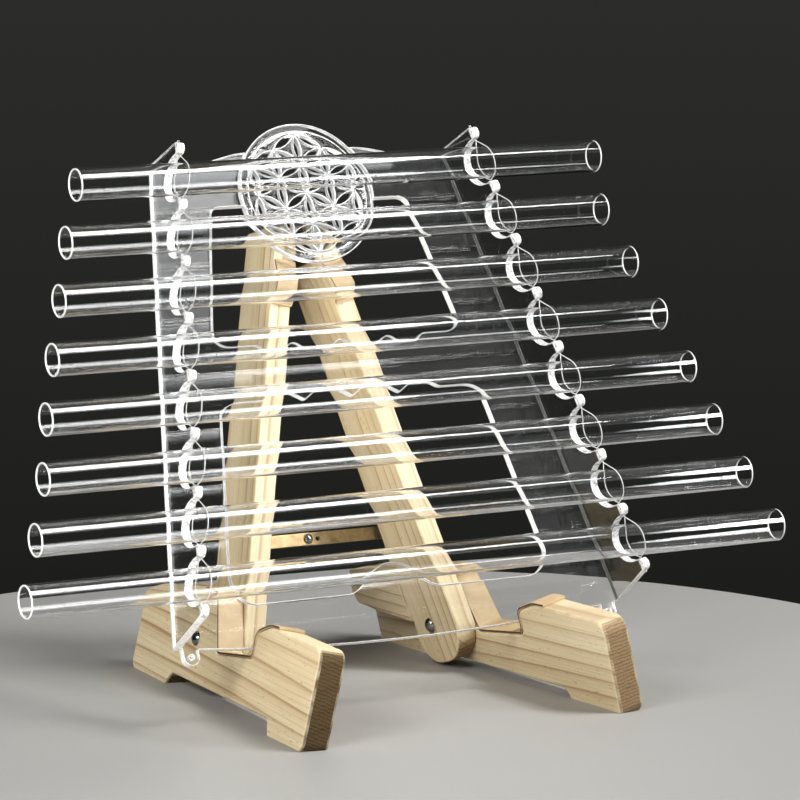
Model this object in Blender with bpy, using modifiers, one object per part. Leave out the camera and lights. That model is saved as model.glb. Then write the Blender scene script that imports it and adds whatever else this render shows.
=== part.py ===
"""Crystal harp: eight quartz tubes strung on a leaning acrylic frame, standing on a folding pine stand. Metres, +Z up."""
import math

import bmesh
import bpy
from mathutils import Matrix, Vector

MM = 0.001

# ---- driving dimensions ----
# tubes
TUBE_D = 20.0 * MM
TUBE_WALL = 1.0 * MM
TUBE_LENGTHS = [length * MM for length in (361.0, 371.5, 395.5, 419.5, 443.0, 462.0, 487.0, 515.0)]  # near a major scale: length falls as 1 / sqrt(pitch)
TUBE_1_SLID = 9.0 * MM
TUBE_DROP = 2.4 * MM
TUBE_OUT = 2.2 * MM
# leaning harp frame: its own axes are X right, Y up the plate, Z out of the front
LEAN = 26.18
HARP_X, HARP_Y, HARP_Z = 5.0 * MM, -2.92 * MM, 203.5 * MM
PLATE_T = 5.0 * MM
PLATE_FRONT = -40.0 * MM
FINGERS = 9
PITCH = 35.82 * MM
FINGER_R = 3.8 * MM
HALF_W = 126.7 * MM
TAPER = 0.17
EDGE = 1.0 * MM
CHEEK_T = 5.0 * MM
SCALLOP_DEPTH = 17.5 * MM
SCALLOP_TOP = -2.0 * MM
TOP_V, BOTTOM_V, CORNER_V = 147.0 * MM, -163.5 * MM, -155.0 * MM
TAB_X, TAB_R, TAB_V, TAB_HOLE = 144.4 * MM, 5.2 * MM, -160.8 * MM, 1.6 * MM
DISC_V, DISC_R, PETAL_R = 124.8 * MM, 45.6 * MM, 19.5 * MM
GAP = 0.3 * MM
LINE_D, LINE_HOLE_R, LINE_SIDE = 0.6 * MM, 1.25 * MM, 0.55 * MM
# stand: two side frames splayed about a leaning hinge axis
STAND_LEAN = 16.985
SPLAY = 13.883
APEX_Z = 318.3 * MM
HINGE_DROP = 8.0 * MM
LEG_T = 13.8 * MM
FOOT_T = 17.0 * MM
LAYER = 0.4 * MM
LEG_TOP, LEG_BOTTOM = -14.0 * MM, -300.0 * MM
LEG_FRONT, LEG_BACK_TOP, LEG_BACK_LOW = -97.0 * MM, -140.0 * MM, -148.0 * MM
NOSE_TOP, NOSE_BOTTOM, NOSE_TIP = -38.5 * MM, -64.5 * MM, -92.2 * MM
LEATHER_T = 1.6 * MM
LIP_U = 43.5 * MM
FLOOR_FRONT, FLOOR_BACK = -296.6 * MM, -303.6 * MM
BOLT_U, BOLT_W, BOLT_R, DOME_R, DOME_H = -42.2 * MM, -300.3 * MM, 2.7 * MM, 4.6 * MM, 3.0 * MM
LEAF_T, LEAF_LOW, LEAF_B0, LEAF_B1 = 1.4 * MM, -36.0 * MM, -134.0 * MM, -101.0 * MM
KNUCKLE_R, KNUCKLE_BORE, PIN_R = 2.6 * MM, 1.5 * MM, 1.2 * MM
STAY_A, STAY_W, STAY_T, STAY_LAYER = -211.0 * MM, 8.0 * MM, 2.6 * MM, 0.4 * MM

# ---- scene, collections and materials ----
for old in list(bpy.data.objects):
    bpy.data.objects.remove(old, do_unlink=True)
PARTS = bpy.data.collections.new("crystal_harp")
CUTS = bpy.data.collections.new("cutters")
bpy.context.scene.collection.children.link(PARTS)
bpy.context.scene.collection.children.link(CUTS)


def material(name, color, metallic, rough, transmission=0.0, ior=1.45):
    made = bpy.data.materials.new(name)
    made.use_nodes = True
    node = made.node_tree.nodes["Principled BSDF"]
    node.inputs["Base Color"].default_value = (*color, 1.0)
    node.inputs["Metallic"].default_value = metallic
    node.inputs["Roughness"].default_value = rough
    node.inputs["Transmission Weight"].default_value = transmission
    node.inputs["IOR"].default_value = ior
    made.diffuse_color = (*color, 1.0)
    return made


ACRYLIC = material("acrylic", (0.90, 0.92, 0.93), 0.0, 0.04, 0.9, 1.49)
QUARTZ = material("quartz", (0.96, 0.97, 0.98), 0.0, 0.02, 0.95, 1.46)
NYLON = material("nylon_line", (0.93, 0.93, 0.92), 0.0, 0.25, 0.6, 1.53)
PINE = material("pine", (0.74, 0.53, 0.30), 0.0, 0.5)
LEATHER = material("leather", (0.52, 0.31, 0.16), 0.0, 0.7)
DARK_STEEL = material("dark_steel", (0.18, 0.17, 0.17), 1.0, 0.22)
BRONZE = material("bronze", (0.24, 0.18, 0.11), 1.0, 0.38)


# ---- helpers ----
def smooth(x):
    x = min(1.0, max(0.0, x))
    return x * x * (3.0 - 2.0 * x)


def arc(cx, cy, r, a0, a1, n):
    return [(cx + r * math.cos(a0 + (a1 - a0) * i / n), cy + r * math.sin(a0 + (a1 - a0) * i / n)) for i in range(n + 1)]


def rounded(corners, n=4, cyclic=True):
    """A polygon of (x, y, radius) corners with each corner turned into an arc of n steps."""
    out = []
    for i, (x, y, r) in enumerate(corners):
        if r <= 0.0 or (not cyclic and i in (0, len(corners) - 1)):
            out.append((x, y))
            continue
        p = Vector((x, y))
        a = Vector(corners[i - 1][:2]) - p
        b = Vector(corners[(i + 1) % len(corners)][:2]) - p
        la, lb = a.length, b.length
        a, b = a / la, b / lb
        half = 0.5 * math.acos(max(-1.0, min(1.0, a.dot(b))))
        cut = min(r / math.tan(half), 0.49 * la, 0.49 * lb)
        r = cut * math.tan(half)
        c = p + (a + b).normalized() * (r / math.sin(half))
        s = p + a * cut - c
        e = p + b * cut - c
        t0 = math.atan2(s.y, s.x)
        turn = math.atan2(s.x * e.y - s.y * e.x, s.dot(e))
        out += arc(c.x, c.y, r, t0, t0 + turn, n)
    return out


def offset(path, d):
    """An open polyline moved d to its left."""
    out = []
    for i, p in enumerate(path):
        a = Vector(path[max(i - 1, 0)])
        b = Vector(path[min(i + 1, len(path) - 1)])
        p = Vector(p)
        n1 = Vector((-(p - a).y, (p - a).x)) if i else None
        n2 = Vector((-(b - p).y, (b - p).x)) if i < len(path) - 1 else None
        n1 = (n1 or n2).normalized()
        n2 = (n2 or n1).normalized()
        m = (n1 + n2).normalized()
        q = p + m * (d / max(0.5, m.dot(n1)))
        out.append((q.x, q.y))
    return out


def strip(path, d0, d1):
    return offset(path, d0) + offset(path, d1)[::-1]


def empty(name, matrix, parent=None):
    made = bpy.data.objects.new(name, None)
    made.empty_display_size = 0.02
    PARTS.objects.link(made)
    made.parent = parent
    made.matrix_local = matrix
    return made


def place(obj, mat, parent, matrix, where=None):
    (where or PARTS).objects.link(obj)
    obj.parent = parent
    obj.matrix_local = matrix
    if mat:
        obj.data.materials.append(mat)
    else:
        obj.hide_render = True
        obj.display_type = "WIRE"
    return obj


def sheet(name, outlines, thick, mat, parent, matrix, where=None):
    """A flat piece: the first outline is its edge, the rest are holes; thickness runs along local Z, centred."""
    flat = bpy.data.curves.new(name + "_outline", "CURVE")
    flat.dimensions = "2D"
    flat.fill_mode = "BOTH"
    flat.extrude = thick / 2
    for line in outlines:
        spline = flat.splines.new("POLY")
        spline.points.add(len(line) - 1)
        for point, (x, y) in zip(spline.points, line):
            point.co = (x, y, 0.0, 1.0)
        spline.use_cyclic_u = True
    helper = bpy.data.objects.new(name + "_outline", flat)
    bpy.context.scene.collection.objects.link(helper)
    graph = bpy.context.evaluated_depsgraph_get()
    graph.update()
    mesh = bpy.data.meshes.new_from_object(helper.evaluated_get(graph))
    bpy.data.objects.remove(helper, do_unlink=True)
    made = bmesh.new()
    made.from_mesh(mesh)
    bmesh.ops.remove_doubles(made, verts=made.verts, dist=1e-6)
    bmesh.ops.recalc_face_normals(made, faces=made.faces)
    made.to_mesh(mesh)
    made.free()
    mesh.name = name
    return place(bpy.data.objects.new(name, mesh), mat, parent, matrix, where)


def turned(name, profile, steps, mat, parent, matrix, where=None):
    """A lathe piece: (radius, height) points, run down the outside from top to bottom; its axis is local Z."""
    mesh = bpy.data.meshes.new(name)
    on_axis = profile[0][0] == 0.0
    edges = [(i, i + 1) for i in range(len(profile) - 1)]
    if not on_axis:
        edges.append((len(profile) - 1, 0))
    mesh.from_pydata([(r, 0.0, z) for r, z in profile], edges, [])
    obj = place(bpy.data.objects.new(name, mesh), mat, parent, matrix, where)
    screw = obj.modifiers.new("turn", "SCREW")
    screw.angle = 2.0 * math.pi
    screw.steps = steps
    screw.render_steps = steps
    screw.use_merge_vertices = True
    screw.merge_threshold = 1e-5
    screw.use_smooth_shade = True
    return obj


def rod(name, r, z0, z1, steps, mat, parent, matrix, where=None):
    return turned(name, [(0.0, z1), (r, z1), (r, z0), (0.0, z0)], steps, mat, parent, matrix, where)


def block(name, lo, hi, mat, parent, matrix, where=None):
    mesh = bpy.data.meshes.new(name)
    made = bmesh.new()
    bmesh.ops.create_cube(made, size=1.0)
    for vert in made.verts:
        vert.co = [lo[k] + (hi[k] - lo[k]) * (vert.co[k] + 0.5) for k in range(3)]
    made.to_mesh(mesh)
    made.free()
    return place(bpy.data.objects.new(name, mesh), mat, parent, matrix, where)


def boolean(obj, other, operation="DIFFERENCE"):
    mod = obj.modifiers.new(other.name, "BOOLEAN")
    mod.operation = operation
    mod.solver = "EXACT"
    mod.object = other


def columns(x, y, z, at=(0.0, 0.0, 0.0)):
    m = Matrix((x, y, z)).transposed().to_4x4()
    m.translation = Vector(at)
    return m


# ---- harp frame ----
HARP = empty("harp_frame", Matrix.Translation((HARP_X, HARP_Y, HARP_Z)) @ Matrix.Rotation(math.radians(90.0 - LEAN), 4, "X"))
PLATE_AT = Matrix.Translation((0.0, 0.0, PLATE_FRONT - PLATE_T / 2))


def half_width(v):
    return HALF_W - TAPER * v


def bow(x):
    return BOTTOM_V + 8.0 * MM * (x / (150.0 * MM)) ** 2


def top_edge(x):
    return TOP_V + 6.0 * MM * smooth((75.0 * MM - x) / (37.0 * MM))


def upper_bottom(x):
    v = 21.0 * MM + 7.3 * MM * smooth((x - 50.0 * MM) / (9.0 * MM))
    for c in (0.0, 33.0 * MM):
        d = abs(x - c)
        if d < 10.5 * MM:
            v = max(v, 21.0 * MM + 7.3 * MM * math.cos(0.5 * math.pi * d / (10.5 * MM)) ** 2)
    return v


def lower_top(x):
    v = -2.0 * MM - 5.0 * MM * smooth((x - 54.0 * MM) / (9.0 * MM))
    for c in (0.0, 33.0 * MM):
        v -= max(0.0, 7.0 * MM - abs(x - c) * 0.84)
    return v


def mirrored(half):
    """A closed outline from its right half, which runs from the axis back to the axis."""
    return half + [(-x, y) for x, y in half[::-1] if abs(x) > 1e-6]


def plate_half(n):
    """Right half of the outline, from the middle of the bottom edge round to the middle of the upper window's sill."""
    half = [(x * MM, bow(x * MM)) for x in (0, 35, 70, 105)]
    half += [(TAB_X - TAB_R, bow(TAB_X - TAB_R))]
    half += arc(TAB_X, TAB_V, TAB_R, math.pi, 2.0 * math.pi, 2 * n)
    half += [(TAB_X + TAB_R, CORNER_V)]
    bite = DISC_R + GAP
    lo, hi = 0.0, 1.2
    for _ in range(40):
        mid = 0.5 * (lo + hi)
        if DISC_V + bite * math.sin(mid) < top_edge(bite * math.cos(mid)):
            lo = mid
        else:
            hi = mid
    corner = rounded([(half_width(CORNER_V) + EDGE, CORNER_V, 0.0), (half_width(TOP_V) + EDGE, TOP_V, 6.0 * MM), (75.0 * MM, TOP_V, 0.0)], n, False)
    half += corner
    steps = 2 * n
    edge0, edge1 = 75.0 * MM, bite * math.cos(lo)
    half += [(edge0 + (edge1 - edge0) * i / steps, top_edge(edge0 + (edge1 - edge0) * i / steps)) for i in range(1, steps)]
    sill = 118.5 * MM
    half += arc(0.0, DISC_V, bite, lo, math.asin((sill - DISC_V) / bite), 3 * n)
    slope = 0.2095
    side_top = 68.1 * MM
    side_low = side_top + slope * (sill - 28.3 * MM)
    half += rounded([(bite * math.cos(0.137), sill, 0.0), (side_top, sill, 7.0 * MM), (side_low, 28.3 * MM, 12.0 * MM), (62.0 * MM, 28.3 * MM, 0.0)], n, False)[1:]
    steps = 10 * n
    half += [(x, upper_bottom(x)) for x in (59.0 * MM * (1.0 - i / steps) for i in range(steps + 1))]
    return half


def lower_half(n):
    steps = 8 * n
    half = [(x, lower_top(x)) for x in (66.0 * MM * i / steps for i in range(steps + 1))]
    half += rounded([(66.0 * MM, -7.0 * MM, 0.0), (89.7 * MM, -7.0 * MM, 14.0 * MM), (111.7 * MM, -133.0 * MM, 16.0 * MM), (36.0 * MM, -133.0 * MM, 0.0)], n, False)[1:]
    steps = 4 * n
    half += [(x, -133.0 * MM + 18.0 * MM * math.cos(0.5 * math.pi * x / (33.0 * MM)) ** 2) for x in (33.0 * MM * (1.0 - i / steps) for i in range(steps + 1))]
    return half


def ring(x, y, r, n):
    return arc(x, y, r, 0.0, 2.0 * math.pi, n)[:-1]


sheet(
    "main_plate",
    [mirrored(plate_half(3)), mirrored(lower_half(3)), ring(TAB_X, TAB_V, TAB_HOLE, 8), ring(-TAB_X, TAB_V, TAB_HOLE, 8)],
    PLATE_T, ACRYLIC, HARP, PLATE_AT,
)


def lattice(i, j):
    """Point of a triangular lattice with a row straight up the plate."""
    return Vector((PETAL_R * i * math.sqrt(0.75), PETAL_R * (0.5 * i + j)))


def petals(n):
    """Lens cut-outs along every edge of a two-ring triangular lattice, drawn in a little so that webs remain."""
    out = []
    for i in range(-2, 3):
        for j in range(-2, 3):
            if abs(i + j) > 2:
                continue
            p = lattice(i, j)
            for di, dj in ((1, 0), (0, 1), (-1, 1)):
                if abs(i + di) > 2 or abs(j + dj) > 2 or abs(i + j + di + dj) > 2:
                    continue
                q = lattice(i + di, j + dj)
                mid = (p + q) / 2
                along = (q - p).normalized()
                across = Vector((-along.y, along.x))
                lens = []
                for side in (1.0, -1.0):
                    for k in range(n):
                        x = (-1.0 + 2.0 * k / n) * 0.5 * PETAL_R
                        y = math.sqrt(PETAL_R**2 - x * x) - PETAL_R * math.sqrt(0.75)
                        c = mid + along * (side * x * 0.83) + across * (side * y * 0.84)
                        lens.append((c.x, c.y))
                out.append(lens)
    return out


DISC = empty("disc_centre", Matrix.Translation((0.0, DISC_V, PLATE_FRONT - PLATE_T / 2)), HARP)
sheet("flower_disc", [ring(0.0, 0.0, DISC_R, 56)] + petals(4), PLATE_T, ACRYLIC, DISC, Matrix.Identity(4))

# cheeks: outline in (out of the plate, up the slanted edge)
STRETCH = math.sqrt(1.0 + TAPER**2)
FINGER_V = [((FINGERS - 1) / 2 - i) * PITCH for i in range(FINGERS)]
TUBE_V = [0.5 * (FINGER_V[i] + FINGER_V[i + 1]) - TUBE_DROP for i in range(FINGERS - 1)]


def cheek_outline(n):
    foot = PLATE_FRONT + GAP
    line = [(foot, CORNER_V * STRETCH), (foot, (FINGER_V[0] + FINGER_R) * STRETCH)]
    for i, v in enumerate(FINGER_V):
        s = v * STRETCH
        r = FINGER_R
        line += arc(0.0, s, r, 0.5 * math.pi, -0.5 * math.pi, 2 * n)
        if i < FINGERS - 1:
            mid = 0.5 * (v + FINGER_V[i + 1]) * STRETCH
            half = 0.5 * PITCH * STRETCH - r
            for k in range(4 * n + 1):
                t = math.pi * k / (4 * n)
                line.append((SCALLOP_TOP - SCALLOP_DEPTH * math.sin(t), mid + half * math.cos(t)))
    return line


for side, label in ((-1.0, "left"), (1.0, "right")):
    up = Vector((-side * TAPER, 1.0, 0.0)).normalized()
    out = Vector((0.0, 0.0, 1.0))
    cheek_at = columns(out, up, out.cross(up), (side * HALF_W, 0.0, 0.0))
    cheek = sheet(label + "_cheek", [cheek_outline(3)], CHEEK_T, ACRYLIC, HARP, cheek_at)
    drill = rod(label + "_line_drill", LINE_HOLE_R, -0.2, 0.2, 6, None, HARP, cheek_at @ Matrix.Rotation(-math.pi / 2, 4, "X"), CUTS)
    boolean(cheek, drill)


# tubes
for i, length in enumerate(TUBE_LENGTHS):
    x = -HARP_X + (TUBE_1_SLID if i == 0 else 0.0)
    centre = empty("tube_%d_axis" % (i + 1), Matrix.Translation((x, TUBE_V[i], TUBE_OUT)) @ Matrix.Rotation(math.pi / 2, 4, "Y"), HARP)
    r0, r1 = TUBE_D / 2 - TUBE_WALL, TUBE_D / 2
    turned("tube_%d" % (i + 1), [(r0, length / 2), (r1, length / 2), (r1, -length / 2), (r0, -length / 2)], 24, QUARTZ, centre, Matrix.Identity(4))


# lines: one loop a side, down in front of the tubes and up behind them, through every finger tip
def tangent_run(v0, v1, cv, cn, r, front, n):
    """From (v0, 0) to (v1, 0) round the front or back of a circle of radius r at (cv, cn)."""
    sign = 1.0 if front else -1.0
    a = math.atan2(sign * (0.0 - cn), v0 - cv)
    b = math.atan2(sign * (0.0 - cn), v1 - cv) % (2.0 * math.pi)
    a += math.acos(r / math.hypot(v0 - cv, cn))
    b -= math.acos(r / math.hypot(v1 - cv, cn))
    return [(cv + r * math.cos(a + (b - a) * k / n), cn + sign * r * math.sin(a + (b - a) * k / n)) for k in range(n + 1)]


def line_run(front, n):
    reach = FINGER_R + 0.5 * MM
    r = TUBE_D / 2 + LINE_D / 2 + 0.55 * MM
    run = []
    for i in range(FINGERS - 1):
        v0, v1 = FINGER_V[i] - reach, FINGER_V[i + 1] + reach
        run += [(v0, 0.0)] + tangent_run(v0, v1, TUBE_V[i], TUBE_OUT, r, front, n) + [(v1, 0.0)]
    return run


def line_path(side, n):
    front, back = line_run(True, n), line_run(False, n)
    end = FINGER_R + 1.2 * MM
    path = [(FINGER_V[0] + end, 0.0, -LINE_SIDE)] + [(v, z, -LINE_SIDE) for v, z in front] + [(FINGER_V[-1] - end, 0.0, -LINE_SIDE)]
    path += [(FINGER_V[-1] - end, 0.0, LINE_SIDE)] + [(v, z, LINE_SIDE) for v, z in back[::-1]] + [(FINGER_V[0] + end, 0.0, LINE_SIDE)]
    return [(side * (half_width(v) + s), v, z) for v, z, s in path]


for side, label in ((-1.0, "left"), (1.0, "right")):
    curve = bpy.data.curves.new(label + "_line", "CURVE")
    curve.dimensions = "3D"
    curve.bevel_depth = LINE_D / 2
    curve.bevel_resolution = 0
    path = line_path(side, 4)
    spline = curve.splines.new("POLY")
    spline.points.add(len(path) - 1)
    for point, co in zip(spline.points, path):
        point.co = (*co, 1.0)
    spline.use_cyclic_u = True
    place(bpy.data.objects.new(label + "_line", curve), NYLON, HARP, Matrix.Identity(4))

# ---- stand ----
ETA, PHI = math.radians(STAND_LEAN), math.radians(SPLAY)
UP_LEG = Vector((0.0, math.sin(ETA), math.cos(ETA)))
APEX = Vector((0.0, HARP_Y, APEX_Z))
INSET = HINGE_DROP * math.sin(PHI)
GROUND = block("ground_cut", (-0.4, -0.4, -0.1), (0.4, 0.4, 0.0), None, None, Matrix.Identity(4), CUTS)
BOARD = columns(Vector((0.0, -1.0, 0.0)), Vector((0.0, 0.0, 1.0)), Vector((-1.0, 0.0, 0.0)))
ALONG_X = Matrix.Rotation(math.pi / 2, 4, "Y")


def leg_front(n):
    """The front edge from the top down, with the nose; (forward, up) measured from the hinge axis."""
    d = HINGE_DROP
    return rounded(
        [
            (LEG_FRONT, -20.0 * MM + d, 0.0), (LEG_FRONT, NOSE_TOP + d, 4.0 * MM), (NOSE_TIP, -47.0 * MM + d, 6.0 * MM), (NOSE_TIP + 0.6 * MM, -57.5 * MM + d, 5.0 * MM),
            (LEG_FRONT, NOSE_BOTTOM + d, 3.5 * MM), (LEG_FRONT, -80.0 * MM + d, 0.0),
        ],
        n, False,
    )


def leg_outline(n):
    d = HINGE_DROP
    rest = rounded(
        [
            (LEG_FRONT, -80.0 * MM + d, 0.0), (LEG_FRONT, LEG_BOTTOM + d, 22.0 * MM), (LEG_BACK_LOW, LEG_BOTTOM + d, 20.0 * MM), (LEG_BACK_LOW, -250.0 * MM + d, 0.0),
            (LEG_BACK_TOP, LEG_TOP + d, 2.5 * MM), (LEG_FRONT, LEG_TOP + d, 2.5 * MM), (LEG_FRONT, -20.0 * MM + d, 0.0),
        ],
        n, False,
    )
    return leg_front(n)[:-1] + rest[:-1]


def foot_notch(n):
    """The ledge from the top of the bump, down to the floor, and up over the lip; (forward, up) from the apex."""
    return rounded(
        [
            (-44.0 * MM, -271.5 * MM, 0.0), (-25.0 * MM, -273.0 * MM, 7.0 * MM), (-9.0 * MM, FLOOR_BACK, 6.0 * MM), (LIP_U, FLOOR_FRONT, 5.0 * MM),
            (LIP_U - 1.0 * MM, -281.0 * MM, 5.0 * MM), (60.0 * MM, -274.5 * MM, 20.0 * MM), (72.0 * MM, -274.0 * MM, 0.0),
        ],
        n, False,
    )


def foot_outline(n):
    rest = rounded(
        [
            (72.0 * MM, -274.0 * MM, 0.0), (134.0 * MM, -274.0 * MM, 9.0 * MM), (134.5 * MM, -336.2 * MM, 7.0 * MM), (110.0 * MM, -336.2 * MM, 0.0), (83.7 * MM, -336.2 * MM, 0.0),
            (79.0 * MM, -326.0 * MM, 6.0 * MM), (-69.0 * MM, -326.0 * MM, 6.0 * MM), (-75.5 * MM, -334.4 * MM, 0.0), (-110.0 * MM, -334.4 * MM, 0.0), (-131.6 * MM, -334.4 * MM, 7.0 * MM),
            (-132.0 * MM, -282.0 * MM, 9.0 * MM), (-112.0 * MM, -273.0 * MM, 16.0 * MM), (-60.0 * MM, -271.0 * MM, 0.0), (-44.0 * MM, -271.5 * MM, 0.0),
        ],
        n, False,
    )
    return foot_notch(n)[:-1] + rest[:-1]


def heel_outline(n):
    return rounded(
        [
            (-129.5 * MM, -277.5 * MM, 5.0 * MM), (-73.2 * MM, -268.0 * MM, 2.0 * MM), (-63.4 * MM, -302.5 * MM, 1.5 * MM), (-104.0 * MM, -301.5 * MM, 3.0 * MM), (-129.5 * MM, -299.5 * MM, 6.0 * MM),
        ],
        n,
    )


def dome(r, h, n):
    """Profile of a shallow dome from its crown down to its rim."""
    ball = (r * r + h * h) / (2.0 * h)
    full = math.asin(min(1.0, r / ball))
    return [(ball * math.sin(full * k / n), h - ball + ball * math.cos(full * k / n)) for k in range(n + 1)]


for side, label in ((-1.0, "left"), (1.0, "right")):
    frame = empty(
        label + "_side",
        Matrix.Translation(APEX - UP_LEG * HINGE_DROP) @ Matrix.Rotation(-ETA, 4, "X") @ Matrix.Rotation(-side * PHI, 4, "Y"),
    )
    level = empty(label + "_level", Matrix.Translation((0.0, 0.0, HINGE_DROP)) @ Matrix.Rotation(ETA, 4, "X"), frame)
    leg_x = side * (INSET + LEG_T / 2)
    foot_x = side * (INSET + LEG_T + LAYER + FOOT_T / 2)
    leg = sheet(label + "_leg", [leg_outline(3)], LEG_T, PINE, frame, Matrix.Translation((leg_x, 0.0, 0.0)) @ BOARD)
    foot = sheet(label + "_foot", [foot_outline(3)], FOOT_T, PINE, level, Matrix.Translation((foot_x, 0.0, 0.0)) @ BOARD)
    boolean(foot, GROUND)
    sheet(label + "_heel_block", [heel_outline(3)], LEG_T, PINE, level, Matrix.Translation((leg_x, 0.0, 0.0)) @ BOARD)
    nose = leg_front(3)[1:-1]
    sheet(label + "_rest_leather", [strip(nose, GAP, GAP + LEATHER_T)], LEG_T, LEATHER, frame, Matrix.Translation((leg_x, 0.0, 0.0)) @ BOARD)
    notch = foot_notch(3)
    sheet(label + "_ledge_leather", [strip(notch, GAP, GAP + LEATHER_T)], FOOT_T, LEATHER, level, Matrix.Translation((foot_x, 0.0, 0.0)) @ BOARD)

    # foot bolt: dome head outside the foot, cap nut inside the leg
    out_x = INSET + LEG_T + LAYER + FOOT_T + GAP
    in_x = INSET - GAP
    bolt_at = Matrix.Translation((0.0, -BOLT_U, BOLT_W)) @ Matrix.Rotation(side * math.pi / 2, 4, "Y")
    head = [(r, out_x + z) for r, z in dome(DOME_R, DOME_H, 3)]
    turned(label + "_pivot_bolt", head + [(BOLT_R, out_x), (BOLT_R, in_x - 0.8 * MM), (0.0, in_x - 0.8 * MM)], 14, DARK_STEEL, level, bolt_at)
    cap = [(r, -z) for r, z in dome(DOME_R, DOME_H, 3)][::-1]
    bore = BOLT_R + GAP
    turned(
        label + "_cap_nut",
        [(0.0, in_x - 1.3 * MM), (bore, in_x - 1.3 * MM), (bore, in_x)][::1] + [(r, in_x + z) for r, z in cap],
        14, DARK_STEEL, level, bolt_at,
    )
    drill = rod(label + "_bolt_drill", BOLT_R + GAP, -0.01, 0.06, 12, None, level, bolt_at, CUTS)
    boolean(leg, drill)
    boolean(foot, drill)

    # hinge leaf on the inner face, knuckles on the hinge axis
    flat = Matrix.Translation((side * (INSET - GAP - LEAF_T / 2), 0.0, 0.0)) @ BOARD
    low, high = LEAF_LOW + HINGE_DROP, -3.4 * MM
    leaf = sheet(
        "hinge_%s_leaf" % label,
        [rounded([(LEAF_B0, high, 0.0), (LEAF_B1, high, 0.0), (LEAF_B1, low, 4.0 * MM), (LEAF_B0, low, 4.0 * MM)], 3)],
        LEAF_T, BRONZE, frame, flat,
    )
    third = (LEAF_B1 - LEAF_B0) / 3
    spans = [(LEAF_B0, LEAF_B0 + third - GAP), (LEAF_B1 - third + GAP, LEAF_B1)] if side < 0 else [(LEAF_B0 + third + GAP, LEAF_B1 - third - GAP)]
    axis_y = Matrix.Rotation(math.pi / 2, 4, "X")
    for k, (b0, b1) in enumerate(spans):
        neck = block("%s_neck_%d" % (label, k), (-LEAF_T / 2, -b1, high - 0.6 * MM), (LEAF_T / 2, -b0, 0.2 * MM), None, frame, Matrix.Translation((side * (INSET - GAP - LEAF_T / 2), 0.0, 0.0)), CUTS)
        knuckle = rod("%s_knuckle_%d" % (label, k), KNUCKLE_R, b0, b1, 14, None, frame, axis_y, CUTS)
        boolean(leaf, neck, "UNION")
        boolean(leaf, knuckle, "UNION")
    bore_cut = rod(label + "_hinge_bore", KNUCKLE_BORE, LEAF_B0 - 2.0 * MM, LEAF_B1 + 2.0 * MM, 12, None, frame, axis_y, CUTS)
    boolean(leaf, bore_cut)
    for k, b in enumerate((-126.5 * MM, -108.5 * MM)):
        inward = Matrix.Translation((side * (INSET - GAP), -b, -27.0 * MM + HINGE_DROP)) @ Matrix.Rotation(side * math.pi / 2, 4, "Y")
        hole = turned("%s_hinge_sink_%d" % (label, k), [(0.0, 9.5 * MM), (1.5 * MM, 9.5 * MM), (1.5 * MM, 0.1 * MM), (2.7 * MM, -0.2 * MM), (2.7 * MM, -3.0 * MM), (0.0, -3.0 * MM)], 10, None, frame, inward, CUTS)
        boolean(leaf, hole)
        boolean(leg, hole)
        turned("hinge_%s_screw_%d" % (label, k + 1), [(0.0, 9.0 * MM), (1.2 * MM, 9.0 * MM), (1.2 * MM, -0.1 * MM), (2.4 * MM, -0.5 * MM), (2.4 * MM, -1.4 * MM), (0.0, -1.4 * MM)], 10, BRONZE, frame, inward)

    # folding stay behind the legs; the left link lies next to the legs, the right one behind it
    back_b = LEG_BACK_TOP + (LEG_BACK_LOW - LEG_BACK_TOP) * (LEG_TOP - STAY_A) / (LEG_TOP + 250.0 * MM) - 0.6 * MM
    layer_b = back_b if side < 0 else back_b - STAY_T - STAY_LAYER
    pivot_x, pivot_z = INSET + LEG_T / 2, STAY_A + HINGE_DROP
    reach = pivot_x * math.cos(PHI) - pivot_z * math.sin(PHI)
    pivot = empty(label + "_stay_pivot", Matrix.Translation((side * pivot_x, 0.0, pivot_z)) @ Matrix.Rotation(side * PHI, 4, "Y"), frame)
    facing = columns(Vector((1.0, 0.0, 0.0)), Vector((0.0, 0.0, 1.0)), Vector((0.0, -1.0, 0.0)), (0.0, -(layer_b - STAY_T / 2), 0.0))
    w = STAY_W / 2
    x0, x1 = (0.0, reach) if side < 0 else (-reach, 0.0)
    link = arc(x1, 0.0, w, -0.5 * math.pi, 0.5 * math.pi, 6) + arc(x0, 0.0, w, 0.5 * math.pi, 1.5 * math.pi, 6)
    holes = [ring(x0, 0.0, 1.7 * MM, 10), ring(x1, 0.0, 1.7 * MM, 10)]
    if side > 0:
        holes.append(ring(-reach + 8.3 * MM, 0.0, 1.5 * MM, 10))
    sheet(label + "_stay", [link] + holes, STAY_T, BRONZE, pivot, facing)
    screw_at = Matrix.Translation((0.0, -(layer_b - STAY_T - GAP), 0.0)) @ Matrix.Rotation(-math.pi / 2, 4, "X")
    crown = dome(3.2 * MM, 1.6 * MM, 2)
    depth = layer_b - STAY_T - GAP - (back_b + 10.0 * MM)
    pilot = rod(label + "_stay_pilot", 1.6 * MM, depth - 1.0 * MM, 2.0 * MM, 8, None, pivot, screw_at, CUTS)
    boolean(leg, pilot)
    turned(label + "_stay_screw", crown + [(1.3 * MM, 0.0), (1.3 * MM, depth), (0.0, depth)], 10, DARK_STEEL, pivot, screw_at)
    if side > 0:
        spacer_at = Matrix.Translation((0.0, -(back_b - STAY_T - 0.1 * MM), 0.0)) @ Matrix.Rotation(-math.pi / 2, 4, "X")
        turned("right_stay_spacer", [(1.7 * MM, 0.0), (3.6 * MM, 0.0), (3.6 * MM, -STAY_T), (1.7 * MM, -STAY_T)], 12, DARK_STEEL, pivot, spacer_at)
        tail_at = Matrix.Translation((-reach, -(layer_b - STAY_T - GAP), 0.0)) @ Matrix.Rotation(-math.pi / 2, 4, "X")
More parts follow.
